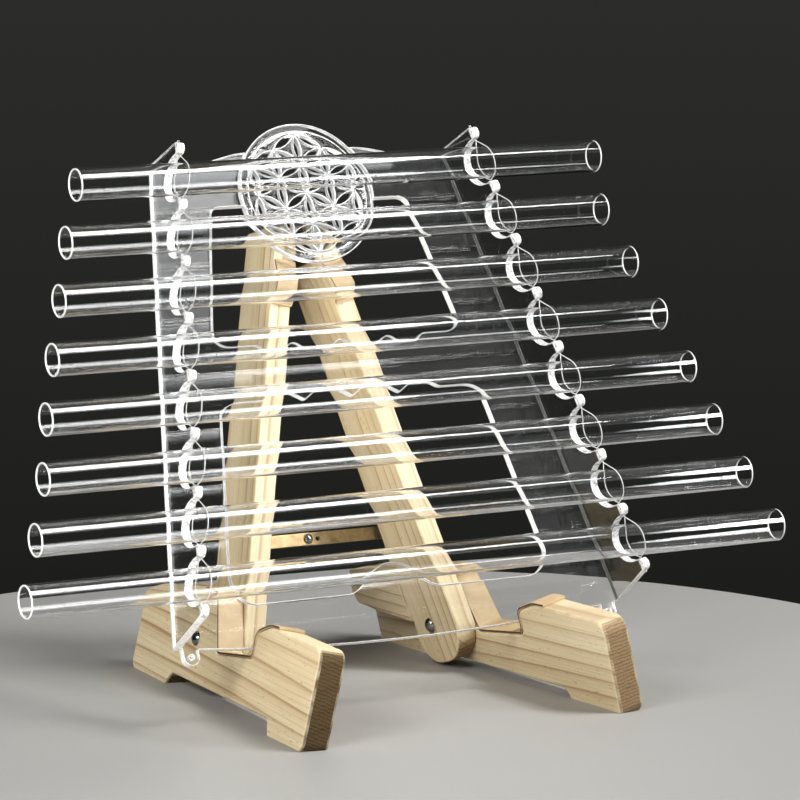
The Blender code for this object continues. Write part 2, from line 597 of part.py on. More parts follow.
        turned("stay_rivet_tail", crown + [(1.35 * MM, 0.0), (1.35 * MM, -STAY_T - GAP), (0.0, -STAY_T - GAP)], 10, DARK_STEEL, pivot, tail_at)
    else:
        head_at = Matrix.Translation((reach, -(layer_b + GAP), 0.0)) @ Matrix.Rotation(math.pi / 2, 4, "X")
        turned("stay_rivet_head", crown + [(1.35 * MM, 0.0), (1.35 * MM, -STAY_T - GAP), (0.0, -STAY_T - GAP)], 10, DARK_STEEL, pivot, head_at)
        rod("hinge_pin", PIN_R, LEAF_B0 - 1.0 * MM, LEAF_B1 + 1.0 * MM, 12, BRONZE, frame, axis_y)

CUTS.hide_render = True
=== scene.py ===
"""Looks of the crystal harp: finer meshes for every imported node, procedural materials, studio light and camera. Metres, +Z up."""

import math

import bmesh
import bpy
from mathutils import Matrix, Vector


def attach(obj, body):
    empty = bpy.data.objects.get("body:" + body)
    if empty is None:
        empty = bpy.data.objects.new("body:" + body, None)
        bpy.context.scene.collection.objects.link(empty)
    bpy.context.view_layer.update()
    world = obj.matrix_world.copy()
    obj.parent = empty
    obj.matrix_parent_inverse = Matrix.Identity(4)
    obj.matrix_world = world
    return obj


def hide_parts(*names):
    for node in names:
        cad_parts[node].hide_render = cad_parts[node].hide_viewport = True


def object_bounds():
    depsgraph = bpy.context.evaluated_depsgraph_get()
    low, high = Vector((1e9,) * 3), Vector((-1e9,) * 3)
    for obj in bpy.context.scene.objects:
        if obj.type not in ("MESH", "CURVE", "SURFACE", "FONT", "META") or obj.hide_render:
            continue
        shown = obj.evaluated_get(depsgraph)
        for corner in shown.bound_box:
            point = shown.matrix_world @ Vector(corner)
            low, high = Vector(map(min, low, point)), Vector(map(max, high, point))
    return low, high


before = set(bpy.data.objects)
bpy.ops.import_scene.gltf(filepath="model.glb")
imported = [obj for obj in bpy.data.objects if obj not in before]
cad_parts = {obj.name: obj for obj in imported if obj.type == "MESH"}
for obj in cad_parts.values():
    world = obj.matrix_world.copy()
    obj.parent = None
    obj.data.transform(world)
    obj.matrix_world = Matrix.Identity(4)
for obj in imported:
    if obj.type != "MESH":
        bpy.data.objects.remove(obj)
CAD_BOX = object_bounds()
scene = bpy.context.scene
MM = 0.001

# ---- camera ----
EYE = Vector((-1.31507, -2.40900, 0.59821))
SIGHT = Vector((0.4797, 0.8643, -0.1508)).normalized()
camera = bpy.data.cameras.new("camera")
camera.lens = 205.75
camera.sensor_width = 36.0
camera.clip_start, camera.clip_end = 0.05, 50.0
camera_object = bpy.data.objects.new("camera", camera)
scene.collection.objects.link(camera_object)
camera_object.location = EYE
camera_object.rotation_mode = "QUATERNION"
camera_object.rotation_quaternion = SIGHT.to_track_quat("-Z", "Y")
scene.camera = camera_object

# ---- dimensions, as in the CAD ----
TUBE_D, TUBE_WALL = 20.0 * MM, 1.0 * MM
TUBE_LENGTHS = [length * MM for length in (361.0, 371.5, 395.5, 419.5, 443.0, 462.0, 487.0, 515.0)]
TUBE_1_SLID, TUBE_DROP, TUBE_OUT = 9.0 * MM, 2.4 * MM, 2.2 * MM
LEAN = 26.18
HARP_X, HARP_Y, HARP_Z = 5.0 * MM, -2.92 * MM, 203.5 * MM
PLATE_T, PLATE_FRONT = 5.0 * MM, -40.0 * MM
FINGERS, PITCH, FINGER_R = 9, 35.82 * MM, 3.8 * MM
HALF_W, TAPER, EDGE, CHEEK_T = 126.7 * MM, 0.17, 1.0 * MM, 5.0 * MM
SCALLOP_DEPTH, SCALLOP_TOP = 17.5 * MM, -2.0 * MM
TOP_V, BOTTOM_V, CORNER_V = 147.0 * MM, -163.5 * MM, -155.0 * MM
TAB_X, TAB_R, TAB_V, TAB_HOLE = 144.4 * MM, 5.2 * MM, -160.8 * MM, 1.6 * MM
DISC_V, DISC_R, PETAL_R, RING_R = 124.8 * MM, 45.6 * MM, 19.5 * MM, 40.6 * MM
GAP = 0.3 * MM
LINE_D, LINE_HOLE_R, LINE_SIDE = 0.6 * MM, 1.25 * MM, 0.55 * MM
STAND_LEAN, SPLAY, APEX_Z, HINGE_DROP = 16.985, 13.883, 318.3 * MM, 8.0 * MM
LEG_T, FOOT_T, LAYER = 13.8 * MM, 17.0 * MM, 0.4 * MM
LEG_TOP, LEG_BOTTOM = -14.0 * MM, -300.0 * MM
LEG_FRONT, LEG_BACK_TOP, LEG_BACK_LOW = -97.0 * MM, -140.0 * MM, -148.0 * MM
NOSE_TOP, NOSE_BOTTOM, NOSE_TIP = -38.5 * MM, -64.5 * MM, -92.2 * MM
LEATHER_T, LIP_U = 1.6 * MM, 43.5 * MM
FLOOR_FRONT, FLOOR_BACK = -296.6 * MM, -303.6 * MM
BOLT_U, BOLT_W, BOLT_R, DOME_R, DOME_H = -42.2 * MM, -300.3 * MM, 2.7 * MM, 4.6 * MM, 3.0 * MM
LEAF_T, LEAF_LOW, LEAF_B0, LEAF_B1 = 1.4 * MM, -36.0 * MM, -134.0 * MM, -101.0 * MM
KNUCKLE_R, KNUCKLE_BORE, PIN_R = 2.6 * MM, 1.5 * MM, 1.2 * MM
STAY_A, STAY_W, STAY_T, STAY_LAYER = -211.0 * MM, 8.0 * MM, 2.6 * MM, 0.4 * MM


# ---- material helpers ----
def fresh(name):
    made = bpy.data.materials.new(name)
    made.use_nodes = True
    return made, made.node_tree, made.node_tree.nodes["Principled BSDF"]


def plug(tree, value, socket):
    if isinstance(value, bpy.types.NodeSocket):
        tree.links.new(value, socket)
    else:
        socket.default_value = value


def node(tree, kind, sockets=(), **props):
    made = tree.nodes.new("ShaderNode" + kind)
    for key, value in props.items():
        setattr(made, key, value)
    for key, value in dict(sockets).items():
        plug(tree, value, made.inputs[key])
    return made


def coords(tree, order="XYZ"):
    """A piece's own coordinates, kept on its mesh before it is put in place, with the axes in another order if asked."""
    here = node(tree, "Attribute", attribute_name="local").outputs["Vector"]
    if order == "XYZ":
        return here
    split = node(tree, "SeparateXYZ", {0: here})
    return node(tree, "CombineXYZ", {k: split.outputs[axis] for k, axis in enumerate(order)}).outputs[0]


def mapped(tree, vector, scale=(1.0, 1.0, 1.0), rotation=(0.0, 0.0, 0.0), location=(0.0, 0.0, 0.0)):
    return node(tree, "Mapping", {"Vector": vector, "Scale": scale, "Rotation": rotation, "Location": location}).outputs[0]


def noise(tree, vector, scale, detail=3.0, roughness=0.5, distortion=0.0):
    return node(tree, "TexNoise", {"Vector": vector, "Scale": scale, "Detail": detail, "Roughness": roughness, "Distortion": distortion}).outputs[0]


def ramp(tree, fac, stops, interpolation="LINEAR"):
    made = node(tree, "ValToRGB", {0: fac})
    made.color_ramp.interpolation = interpolation
    points = made.color_ramp.elements
    while len(points) < len(stops):
        points.new(0.5)
    for point, (at, colour) in zip(points, stops):
        point.position = at
        point.color = (*colour, 1.0) if isinstance(colour, tuple) else (colour, colour, colour, 1.0)
    return made.outputs[0]


def span(tree, value, low, high, to_low, to_high):
    return node(tree, "MapRange", {0: value, 1: low, 2: high, 3: to_low, 4: to_high}).outputs[0]


def blend(tree, fac, a, b, kind="MIX"):
    made = node(tree, "Mix", data_type="RGBA", blend_type=kind)
    plug(tree, fac, made.inputs[0])
    plug(tree, a, made.inputs[6])
    plug(tree, b, made.inputs[7])
    return made.outputs[2]


def maths(tree, kind, a, b=0.0, c=0.0):
    made = node(tree, "Math", operation=kind)
    for k, value in enumerate((a, b, c)):
        plug(tree, value, made.inputs[k])
    return made.outputs[0]


def bumped(tree, height, strength, distance, normal=None):
    made = node(tree, "Bump", {"Height": height, "Strength": strength, "Distance": distance})
    if normal is not None:
        tree.links.new(normal, made.inputs["Normal"])
    return made.outputs[0]


def let_light_through(tree, shader):
    """Lamps shine through the clear piece, so what stands behind it is lit."""
    lamp = node(tree, "LightPath").outputs["Is Shadow Ray"]
    through = node(tree, "BsdfTransparent", {"Color": (0.985, 0.988, 0.988, 1.0)})
    mixed = node(tree, "MixShader", {0: lamp, 1: shader.outputs[0], 2: through.outputs[0]})
    tree.links.new(mixed.outputs[0], tree.nodes["Material Output"].inputs["Surface"])


# ---- materials ----
def quartz():
    """Drawn fused quartz: clear, with a faint drawn haze along the tube."""
    made, tree, shader = fresh("clear_quartz")
    here = coords(tree)
    haze = noise(tree, mapped(tree, here, (220.0, 220.0, 9.0)), 1.0, 3.0, 0.6)
    shader.inputs["Base Color"].default_value = (0.985, 0.992, 1.0, 1.0)
    shader.inputs["Transmission Weight"].default_value = 1.0
    shader.inputs["IOR"].default_value = 1.46
    plug(tree, span(tree, haze, 0.45, 0.80, 0.0, 0.004), shader.inputs["Roughness"])
    let_light_through(tree, shader)
    return made


def quartz_rim():
    """Sawn and fire-rounded tube end: whitish, finely ground."""
    made, tree, shader = fresh("quartz_ground_rim")
    here = coords(tree)
    ground = noise(tree, here, 2400.0, 3.0, 0.6)
    plug(tree, ramp(tree, ground, [(0.30, (0.86, 0.88, 0.89)), (0.65, (1.0, 1.0, 1.0))]), shader.inputs["Base Color"])
    shader.inputs["Transmission Weight"].default_value = 0.25
    shader.inputs["IOR"].default_value = 1.46
    plug(tree, span(tree, ground, 0.3, 0.7, 0.22, 0.42), shader.inputs["Roughness"])
    plug(tree, bumped(tree, ground, 0.2, 0.0001), shader.inputs["Normal"])
    return made


def acrylic():
    """Polished sheet with a few dust specks and hairline scratches."""
    made, tree, shader = fresh("clear_acrylic")
    here = coords(tree)
    specks = ramp(tree, noise(tree, here, 900.0, 1.0), [(0.76, 0.0), (0.80, 1.0)])
    hair = ramp(tree, noise(tree, mapped(tree, here, (30.0, 900.0, 30.0), (0.0, 0.0, 0.6)), 1.0, 2.0), [(0.70, 0.0), (0.74, 1.0)])
    wear = maths(tree, "MAXIMUM", specks, hair)
    shader.inputs["Base Color"].default_value = (0.975, 0.985, 0.985, 1.0)
    shader.inputs["Transmission Weight"].default_value = 1.0
    shader.inputs["IOR"].default_value = 1.49
    plug(tree, span(tree, wear, 0.0, 1.0, 0.008, 0.22), shader.inputs["Roughness"])
    let_light_through(tree, shader)
    return made


def acrylic_edge(name, clear, milk, rough, white=1.0):
    """Cut edge: part clear, part milky in patches, with soft cutting marks across the thickness. The milky part is
    partly a frosted cut and partly painted light, standing for light that runs inside the sheet and comes out here.
    """
    made, tree, shader = fresh(name)
    here = coords(tree)
    marks = noise(tree, mapped(tree, here, (900.0, 900.0, 50.0)), 1.0, 2.0)
    cloud = noise(tree, here, 420.0, 3.0, 0.6)
    plug(tree, ramp(tree, cloud, [(0.36, (milk, milk, milk)), (0.52, (white, white, white))]), shader.inputs["Base Color"])
    shader.inputs["Transmission Weight"].default_value = clear
    shader.inputs["IOR"].default_value = 1.49
    plug(tree, span(tree, cloud, 0.38, 0.66, rough[0], rough[1]), shader.inputs["Roughness"])
    plug(tree, bumped(tree, marks, 0.12, 0.0002), shader.inputs["Normal"])
    return made


def nylon():
    made, tree, shader = fresh("nylon_monofilament")
    cloud = noise(tree, coords(tree), 700.0, 2.0)
    plug(tree, ramp(tree, cloud, [(0.3, (0.80, 0.81, 0.81)), (0.7, (0.96, 0.96, 0.95))]), shader.inputs["Base Color"])
    shader.inputs["Transmission Weight"].default_value = 0.35
    shader.inputs["IOR"].default_value = 1.53
    plug(tree, span(tree, cloud, 0.3, 0.7, 0.18, 0.32), shader.inputs["Roughness"])
    return made


def pine(name, order, pith, tilt, seed, rings=46.0, tone=1.0, shade=1.0, warp=7.0, gloss=0.42):
    """Flat-sawn pine. The texture's first axis runs along the board; late wood sweeps along it in a few soft brown lines, and the sawn ends show close wavy rings."""
    made, tree, shader = fresh(name)
    here = coords(tree, order)
    along = mapped(tree, here, (0.09, 1.0, 1.0), (0.0, tilt * 0.5, tilt), (seed, pith[0], pith[1]))
    broad = node(
        tree, "TexWave", {"Vector": along, "Scale": rings, "Distortion": warp, "Detail": 2.0, "Detail Scale": 0.55, "Detail Roughness": 0.45},
        wave_type="RINGS", rings_direction="X", wave_profile="SAW",
    ).outputs[1]
    fine = node(
        tree, "TexWave", {"Vector": along, "Scale": rings * 3.6, "Distortion": 9.0, "Detail": 2.0, "Detail Scale": 0.35, "Detail Roughness": 0.5},
        wave_type="RINGS", rings_direction="X", wave_profile="SAW",
    ).outputs[1]
    strength = span(tree, noise(tree, mapped(tree, here, (5.0, 34.0, 34.0), (0.0, 0.0, 0.0), (seed, 0.0, 0.0)), 1.0, 2.0), 0.32, 0.66, 0.60, 1.0)
    late = maths(tree, "MULTIPLY", ramp(tree, broad, [(0.0, 0.25), (0.05, 0.0), (0.46, 0.03), (0.82, 0.30), (0.95, 1.0), (1.0, 0.40)]), strength)
    thin = ramp(tree, fine, [(0.0, 0.05), (0.10, 0.0), (0.70, 0.10), (0.93, 1.0), (1.0, 0.10)])
    base = ramp(tree, noise(tree, mapped(tree, here, (7.0, 40.0, 40.0), (0.0, 0.0, 0.0), (0.0, seed, 0.0)), 1.0, 3.0), [(at, tuple(shade * c for c in plain)) for at, plain in ((0.30, (0.755, 0.605, 0.368)), (0.70, (0.865, 0.740, 0.500)))])
    colour = blend(tree, maths(tree, "MULTIPLY", thin, 0.28), base, (0.50, 0.315, 0.135, 1.0))
    colour = blend(tree, maths(tree, "MULTIPLY", late, 0.88), colour, (0.36, 0.20, 0.078, 1.0))
    fibre = noise(tree, mapped(tree, here, (24.0, 1400.0, 1400.0), (0.0, 0.0, 0.0), (seed, 0.0, 0.0)), 1.0, 3.0, 0.6)
    colour = blend(tree, 0.45, colour, ramp(tree, fibre, [(0.28, 0.68), (0.62, 1.0)]), "MULTIPLY")
    fleck = ramp(tree, noise(tree, mapped(tree, here, (280.0, 1700.0, 1700.0), (0.0, 0.0, 0.0), (0.0, 0.0, seed)), 1.0, 0.0), [(0.805, 0.0), (0.825, 1.0)])
    colour = blend(tree, maths(tree, "MULTIPLY", fleck, 0.7), colour, (0.10, 0.05, 0.02, 1.0))
    end = node(tree, "Attribute", attribute_name="end").outputs["Fac"]
    across = node(
        tree, "TexWave", {"Vector": mapped(tree, here, (1.0, 1.0, 1.0), (0.10 + 0.3 * tilt, 0.0, 0.0), (0.0, seed, 0.0)), "Scale": 150.0, "Distortion": 4.5, "Detail": 3.0, "Detail Scale": 1.7, "Detail Roughness": 0.66},
        wave_type="BANDS", bands_direction="Y", wave_profile="SAW",
    ).outputs[1]
    pores = noise(tree, here, 1700.0, 2.0, 0.6)
    rows = maths(tree, "MULTIPLY_ADD", pores, 0.70, maths(tree, "MULTIPLY", ramp(tree, across, [(0.0, 0.25), (0.12, 0.0), (0.55, 0.20), (0.92, 1.0), (1.0, 0.30)]), 0.45))
    sawn = ((0.20, (0.46, 0.30, 0.135)), (0.50, (0.31, 0.19, 0.078)), (0.86, (0.12, 0.064, 0.022)))
    grain = ramp(tree, rows, [(at, tuple(tone * c for c in shade)) for at, shade in sawn])
    colour = blend(tree, maths(tree, "MULTIPLY", end, 0.97), colour, grain)
    worn = node(tree, "Attribute", attribute_name="wear").outputs["Fac"]
    colour = blend(tree, maths(tree, "MULTIPLY", worn, span(tree, noise(tree, here, 120.0, 2.0), 0.35, 0.65, 0.05, 0.40)), colour, (0.88, 0.75, 0.52, 1.0))
    plug(tree, colour, shader.inputs["Base Color"])
    plug(tree, maths(tree, "ADD", span(tree, fibre, 0.3, 0.7, 0.38, 0.54), maths(tree, "MULTIPLY", end, 0.20)), shader.inputs["Roughness"])
    shader.inputs["Specular IOR Level"].default_value = gloss
    relief = maths(tree, "MULTIPLY_ADD", late, 0.4, maths(tree, "SUBTRACT", fibre, fleck))
    relief = maths(tree, "SUBTRACT", relief, maths(tree, "MULTIPLY", maths(tree, "MULTIPLY", rows, end), 1.2))
    plug(tree, bumped(tree, relief, 0.20, 0.0003), shader.inputs["Normal"])
    return made


def leather():
    """Smooth tan leather, pebbled at close range."""
    made, tree, shader = fresh("tan_leather")
    here = coords(tree)
    cells = node(tree, "TexVoronoi", {"Vector": here, "Scale": 1300.0}, feature="SMOOTH_F1").outputs["Distance"]
    cloud = noise(tree, here, 90.0, 4.0, 0.6)
    plug(tree, ramp(tree, cloud, [(0.28, (0.46, 0.325, 0.178)), (0.72, (0.58, 0.44, 0.258))]), shader.inputs["Base Color"])
    plug(tree, span(tree, cloud, 0.3, 0.7, 0.48, 0.66), shader.inputs["Roughness"])
    shader.inputs["Specular IOR Level"].default_value = 0.35
    plug(tree, bumped(tree, cells, 0.35, 0.0002), shader.inputs["Normal"])
    return made


def leather_edge():
    """Burnished cut edge: dark brown fibres."""
    made, tree, shader = fresh("leather_burnished_edge")
    here = coords(tree)
    fibre = noise(tree, here, 1500.0, 3.0, 0.7)
    plug(tree, ramp(tree, fibre, [(0.30, (0.018, 0.008, 0.004)), (0.72, (0.085, 0.038, 0.017))]), shader.inputs["Base Color"])
    plug(tree, span(tree, fibre, 0.3, 0.7, 0.36, 0.60), shader.inputs["Roughness"])
    plug(tree, bumped(tree, fibre, 0.3, 0.0002), shader.inputs["Normal"])
    return made


def metal(name, dark, bright, rough, brushed, relief):
    """Metal with fine turning or rolling marks, and brighter where it is rubbed."""
    made, tree, shader = fresh(name)
    here = coords(tree)
    marks = noise(tree, mapped(tree, here, brushed), 1.0, 3.0, 0.6)
    stain = noise(tree, here, 210.0, 4.0, 0.6)
    rubbed = node(tree, "Attribute", attribute_name="wear").outputs["Fac"]
    tone = maths(tree, "MULTIPLY_ADD", rubbed, 0.30, stain)
    plug(tree, ramp(tree, tone, [(0.30, dark), (0.78, bright)]), shader.inputs["Base Color"])
    shader.inputs["Metallic"].default_value = 1.0
    plug(tree, span(tree, marks, 0.3, 0.7, rough[0], rough[1]), shader.inputs["Roughness"])
    plug(tree, bumped(tree, marks, relief, 0.0001), shader.inputs["Normal"])
    return made


QUARTZ, QUARTZ_RIM, ACRYLIC, NYLON = quartz(), quartz_rim(), acrylic(), nylon()
PLATE_EDGE = acrylic_edge("acrylic_cut_edge", 0.25, 0.88, (0.06, 0.26))
# Clearer edge finish used only on the plate's right wall, so that side reads dim against the milky left wall: painted
# shade.
RIGHT_EDGE_PAINTED_SHADE = acrylic_edge("acrylic_clear_edge_painted_shade", 0.92, 0.95, (0.01, 0.10))
DISC_EDGE = acrylic_edge("acrylic_disc_edge", 0.62, 0.90, (0.01, 0.10))
# Near black edge finish for the right cheek's foot face: painted shade, a dark sheet where that face stands in shade.
FOOT_PAINTED_SHADE = acrylic_edge("acrylic_foot_painted_shade", 0.0, 0.020, (0.50, 0.70), 0.045)
FOOT_PAINTED_SHADE.node_tree.nodes["Principled BSDF"].inputs["Specular IOR Level"].default_value = 0.05
COMB_EDGE = acrylic_edge("acrylic_satin_edge", 0.15, 0.48, (0.16, 0.46))
# Opaque milky white for the bottom edges of the plate and cheeks: partly a sawn finish, and partly painted light
# standing for the light that comes out of the sheet there.
FOOT_EDGE_PAINTED_LIGHT = acrylic_edge("acrylic_foot_edge_painted_light", 0.0, 0.88, (0.20, 0.45))
LEATHER, LEATHER_EDGE = leather(), leather_edge()
STEEL = metal("dark_chrome_steel", (0.13, 0.13, 0.135), (0.34, 0.335, 0.33), (0.10, 0.24), (500.0, 500.0, 2600.0), 0.05)
BRONZE = metal("aged_bronze", (0.085, 0.058, 0.032), (0.26, 0.19, 0.11), (0.30, 0.50), (250.0, 2400.0, 2400.0), 0.12)
STAY_METAL = metal("matt_brass_strip", (0.20, 0.145, 0.072), (0.35, 0.265, 0.148), (0.38, 0.56), (60.0, 2600.0, 2600.0), 0.14)


# ---- geometry helpers ----
def smooth(x):
    x = min(1.0, max(0.0, x))
    return x * x * (3.0 - 2.0 * x)


def arc(cx, cy, r, a0, a1, n):
    return [(cx + r * math.cos(a0 + (a1 - a0) * i / n), cy + r * math.sin(a0 + (a1 - a0) * i / n)) for i in range(n + 1)]


def ring(x, y, r, n):
    return arc(x, y, r, 0.0, 2.0 * math.pi, n)[:-1]


def rounded(corners, n=4, cyclic=True):
    """A polygon of (x, y, radius) corners with each corner turned into an arc of n steps."""
    out = []
    for i, (x, y, r) in enumerate(corners):
        if r <= 0.0 or (not cyclic and i in (0, len(corners) - 1)):
            out.append((x, y))
            continue
        p = Vector((x, y))
        a = Vector(corners[i - 1][:2]) - p
        b = Vector(corners[(i + 1) % len(corners)][:2]) - p
        la, lb = a.length, b.length
        a, b = a / la, b / lb
        half = 0.5 * math.acos(max(-1.0, min(1.0, a.dot(b))))
        cut = min(r / math.tan(half), 0.49 * la, 0.49 * lb)
        r = cut * math.tan(half)
        c = p + (a + b).normalized() * (r / math.sin(half))
        s = p + a * cut - c
        e = p + b * cut - c
        t0 = math.atan2(s.y, s.x)
        turn = math.atan2(s.x * e.y - s.y * e.x, s.dot(e))
        out += arc(c.x, c.y, r, t0, t0 + turn, n)
    return out


def offset(path, d):
    """An open polyline moved d to its left."""
    out = []
    for i, p in enumerate(path):
        a = Vector(path[max(i - 1, 0)])
        b = Vector(path[min(i + 1, len(path) - 1)])
        p = Vector(p)
        n1 = Vector((-(p - a).y, (p - a).x)) if i else None
        n2 = Vector((-(b - p).y, (b - p).x)) if i < len(path) - 1 else None
        n1 = (n1 or n2).normalized()
        n2 = (n2 or n1).normalized()
        m = (n1 + n2).normalized()
        q = p + m * (d / max(0.5, m.dot(n1)))
        out.append((q.x, q.y))
    return out


def strip(path, d0, d1):
    return offset(path, d0) + offset(path, d1)[::-1]


def columns(x, y, z, at=(0.0, 0.0, 0.0)):
    m = Matrix((x, y, z)).transposed().to_4x4()
    m.translation = Vector(at)
    return m


def finish_mesh(made, mesh, sharp=38.0):
    """Smooth shading with the hard corners kept."""
    for edge in made.edges:
        edge.smooth = not (len(edge.link_faces) == 2 and edge.calc_face_angle(0.0) > math.radians(sharp))
    for face in made.faces:
        face.smooth = True
    made.to_mesh(mesh)
    made.free()


def link_mesh(name, mesh, matrix, mats, weighted=True):
    obj = bpy.data.objects.new(name, mesh)
    scene.collection.objects.link(obj)
    obj.matrix_world = matrix
    for mat in mats:
        mesh.materials.append(mat)
    if weighted:
        even = obj.modifiers.new("even_normals", "WEIGHTED_NORMAL")
        even.keep_sharp = True
        even.weight = 80
    return obj


def sheet_mesh(name, outlines, thick, ease, steps=3):
    """A flat piece with eased edges: the first outline is its edge, the rest are holes; thickness runs along local Z, centred. Faces of the two flats are index 0, the rest index 1."""
    flat = bpy.data.curves.new(name + "_outline", "CURVE")
    flat.dimensions = "2D"
    flat.fill_mode = "BOTH"
    flat.extrude = thick / 2 - ease
    flat.bevel_depth = ease
    flat.bevel_resolution = steps
    flat.offset = -ease
    for line in outlines:
        spline = flat.splines.new("POLY")
        spline.points.add(len(line) - 1)
        for point, (x, y) in zip(spline.points, line):
            point.co = (x, y, 0.0, 1.0)
        spline.use_cyclic_u = True
    helper = bpy.data.objects.new(name + "_outline", flat)
    scene.collection.objects.link(helper)
    graph = bpy.context.evaluated_depsgraph_get()
    graph.update()
    mesh = bpy.data.meshes.new_from_object(helper.evaluated_get(graph))
    bpy.data.objects.remove(helper, do_unlink=True)
    bpy.data.curves.remove(flat)
    made = bmesh.new()
    made.from_mesh(mesh)
    bmesh.ops.remove_doubles(made, verts=made.verts, dist=2e-7)
    bmesh.ops.recalc_face_normals(made, faces=made.faces)
    wear = made.faces.layers.float.new("wear")
    for face in made.faces:
        face.normal_update()
        up = abs(face.normal.z)
        face.material_index = 0 if up > 0.9999 else 1
        face[wear] = 1.0 if 0.02 < up < 0.9999 else 0.0
    mesh.name = name
    return mesh, made


def sheet(name, outlines, thick, ease, matrix, mats, steps=3):
    mesh, made = sheet_mesh(name, outlines, thick, ease, steps)
    finish_mesh(made, mesh)
    return link_mesh(name, mesh, matrix, mats)


def lathe(made, profile, segments, closed=False, shape=None):
    """Turns (radius, height) points about local Z into the given bmesh. shape(k, angle) may scale ring k's radius."""
    rows = []
    for k, (r, z) in enumerate(profile):
        if r < 1e-9:
            rows.append([made.verts.new((0.0, 0.0, z))])
            continue
        row = []
        for s in range(segments):
            a = 2.0 * math.pi * s / segments
            rr = r * (shape(k, a) if shape else 1.0)
            row.append(made.verts.new((rr * math.cos(a), rr * math.sin(a), z)))
        rows.append(row)
    pairs = list(zip(rows, rows[1:])) + ([(rows[-1], rows[0])] if closed else [])
    for a, b in pairs:
        for s in range(segments):
            t = (s + 1) % segments
            loop = [a[s % len(a)], a[t % len(a)], b[t % len(b)], b[s % len(b)]]
            corners = []
            for v in loop:
                if v not in corners:
                    corners.append(v)
            if len(corners) > 2:
                made.faces.new(corners)


def turned(name, profile, segments, matrix, mats, closed=False, shape=None, weighted=True):
    mesh = bpy.data.meshes.new(name)
    made = bmesh.new()
    lathe(made, profile, segments, closed, shape)
    bmesh.ops.recalc_face_normals(made, faces=made.faces)
    finish_mesh(made, mesh, 42.0)
    return link_mesh(name, mesh, matrix, mats, weighted)


def cutter(profile, segments, matrix, index=0, closed=False):
    """A hidden lathe solid for a hole, or with a closed profile for a groove."""
    mesh = bpy.data.meshes.new("cut")
    made = bmesh.new()
    lathe(made, profile, segments, closed)
    bmesh.ops.recalc_face_normals(made, faces=made.faces)
    for face in made.faces:
        face.material_index = index
        face.smooth = True
    made.to_mesh(mesh)
    made.free()
    obj = bpy.data.objects.new("cut", mesh)
    scene.collection.objects.link(obj)
    obj.matrix_world = matrix
    return obj


def bore(obj, cutters):
    """Cuts the holes for good and removes the cutters."""
    for k, cut in enumerate(cutters):
        for mat in obj.data.materials:
            cut.data.materials.append(mat)
        mod = obj.modifiers.new("cut_%d" % k, "BOOLEAN")
        mod.operation = "DIFFERENCE"
        mod.solver = "EXACT"
        mod.object = cut
    even = obj.modifiers.get("even_normals")
    if even:
        obj.modifiers.remove(even)
    graph = bpy.context.evaluated_depsgraph_get()
    graph.update()
    mesh = bpy.data.meshes.new_from_object(obj.evaluated_get(graph))
    obj.modifiers.clear()
    old, obj.data = obj.data, mesh
    bpy.data.meshes.remove(old)
    for cut in cutters:
        data = cut.data
        bpy.data.objects.remove(cut, do_unlink=True)
        bpy.data.meshes.remove(data)
    even = obj.modifiers.new("even_normals", "WEIGHTED_NORMAL")
    even.keep_sharp = True
    even.weight = 80


def piece(obj, node_name, body, grain=None):
    """Keeps the piece's own coordinates on its mesh, moves the mesh into place, and ties it to its body. grain is the axis along a board, for its end grain."""
    mesh = obj.data
    local = mesh.attributes.new("local", "FLOAT_VECTOR", "POINT")
    local.data.foreach_set("vector", [c for vert in mesh.vertices for c in vert.co])
    if grain is not None:
        end = mesh.attributes.new("end", "FLOAT", "FACE")
        end.data.foreach_set("value", [smooth((abs(face.normal[grain]) - 0.35) / 0.45) for face in mesh.polygons])
    mesh.transform(obj.matrix_world)
    mesh.update()
    obj.matrix_world = Matrix.Identity(4)
    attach(obj, body)
    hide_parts(node_name)
    return obj


def hexed(levels, flat):
    """Ring shape for a hexagon socket: the listed rings are six-sided."""
    def shape(k, a):
        if k not in levels:
            return 1.0
        return math.cos(math.pi / 6.0) / math.cos((a % (math.pi / 3.0)) - math.pi / 6.0)
    return shape


def dome(r, h, n):
    """Profile of a shallow dome from its crown down to its rim."""
    ball = (r * r + h * h) / (2.0 * h)
    full = math.asin(min(1.0, r / ball))
    return [(ball * math.sin(full * k / n), h - ball + ball * math.cos(full * k / n)) for k in range(n + 1)]


def socket_dome(r, h, key, deep, n):
    """Dome profile from the floor of a hexagon socket, up its wall, over the crown and down to the rim, and the rings that are hexagonal."""
    crown = [(x, z) for x, z in dome(r, h, n) if x > key * 1.12]
    top = crown[0][1] + 0.05 * MM
    profile = [(0.0, h - deep), (key * 0.98, h - deep), (key, h - deep + 0.05 * MM), (key, top - 0.08 * MM), (key * 1.04, top)] + crown
    return profile, {1, 2, 3, 4}


# ---- harp frame ----
HARP = Matrix.Translation((HARP_X, HARP_Y, HARP_Z)) @ Matrix.Rotation(math.radians(90.0 - LEAN), 4, "X")
PLATE_AT = Matrix.Translation((0.0, 0.0, PLATE_FRONT - PLATE_T / 2))


def half_width(v):
    return HALF_W - TAPER * v


def bow(x):
    return BOTTOM_V + 8.0 * MM * (x / (150.0 * MM)) ** 2


def top_edge(x):
    return TOP_V + 6.0 * MM * smooth((75.0 * MM - x) / (37.0 * MM))


def upper_bottom(x):
    v = 21.0 * MM + 7.3 * MM * smooth((x - 50.0 * MM) / (9.0 * MM))
    for c in (0.0, 33.0 * MM):
        d = abs(x - c)
        if d < 10.5 * MM:
            v = max(v, 21.0 * MM + 7.3 * MM * math.cos(0.5 * math.pi * d / (10.5 * MM)) ** 2)
    return v


def lower_top(x):
    v = -2.0 * MM - 5.0 * MM * smooth((x - 54.0 * MM) / (9.0 * MM))
    for c in (0.0, 33.0 * MM):
        v -= max(0.0, 7.0 * MM - abs(x - c) * 0.84)
    return v


def mirrored(half):
    return half + [(-x, y) for x, y in half[::-1] if abs(x) > 1e-6]


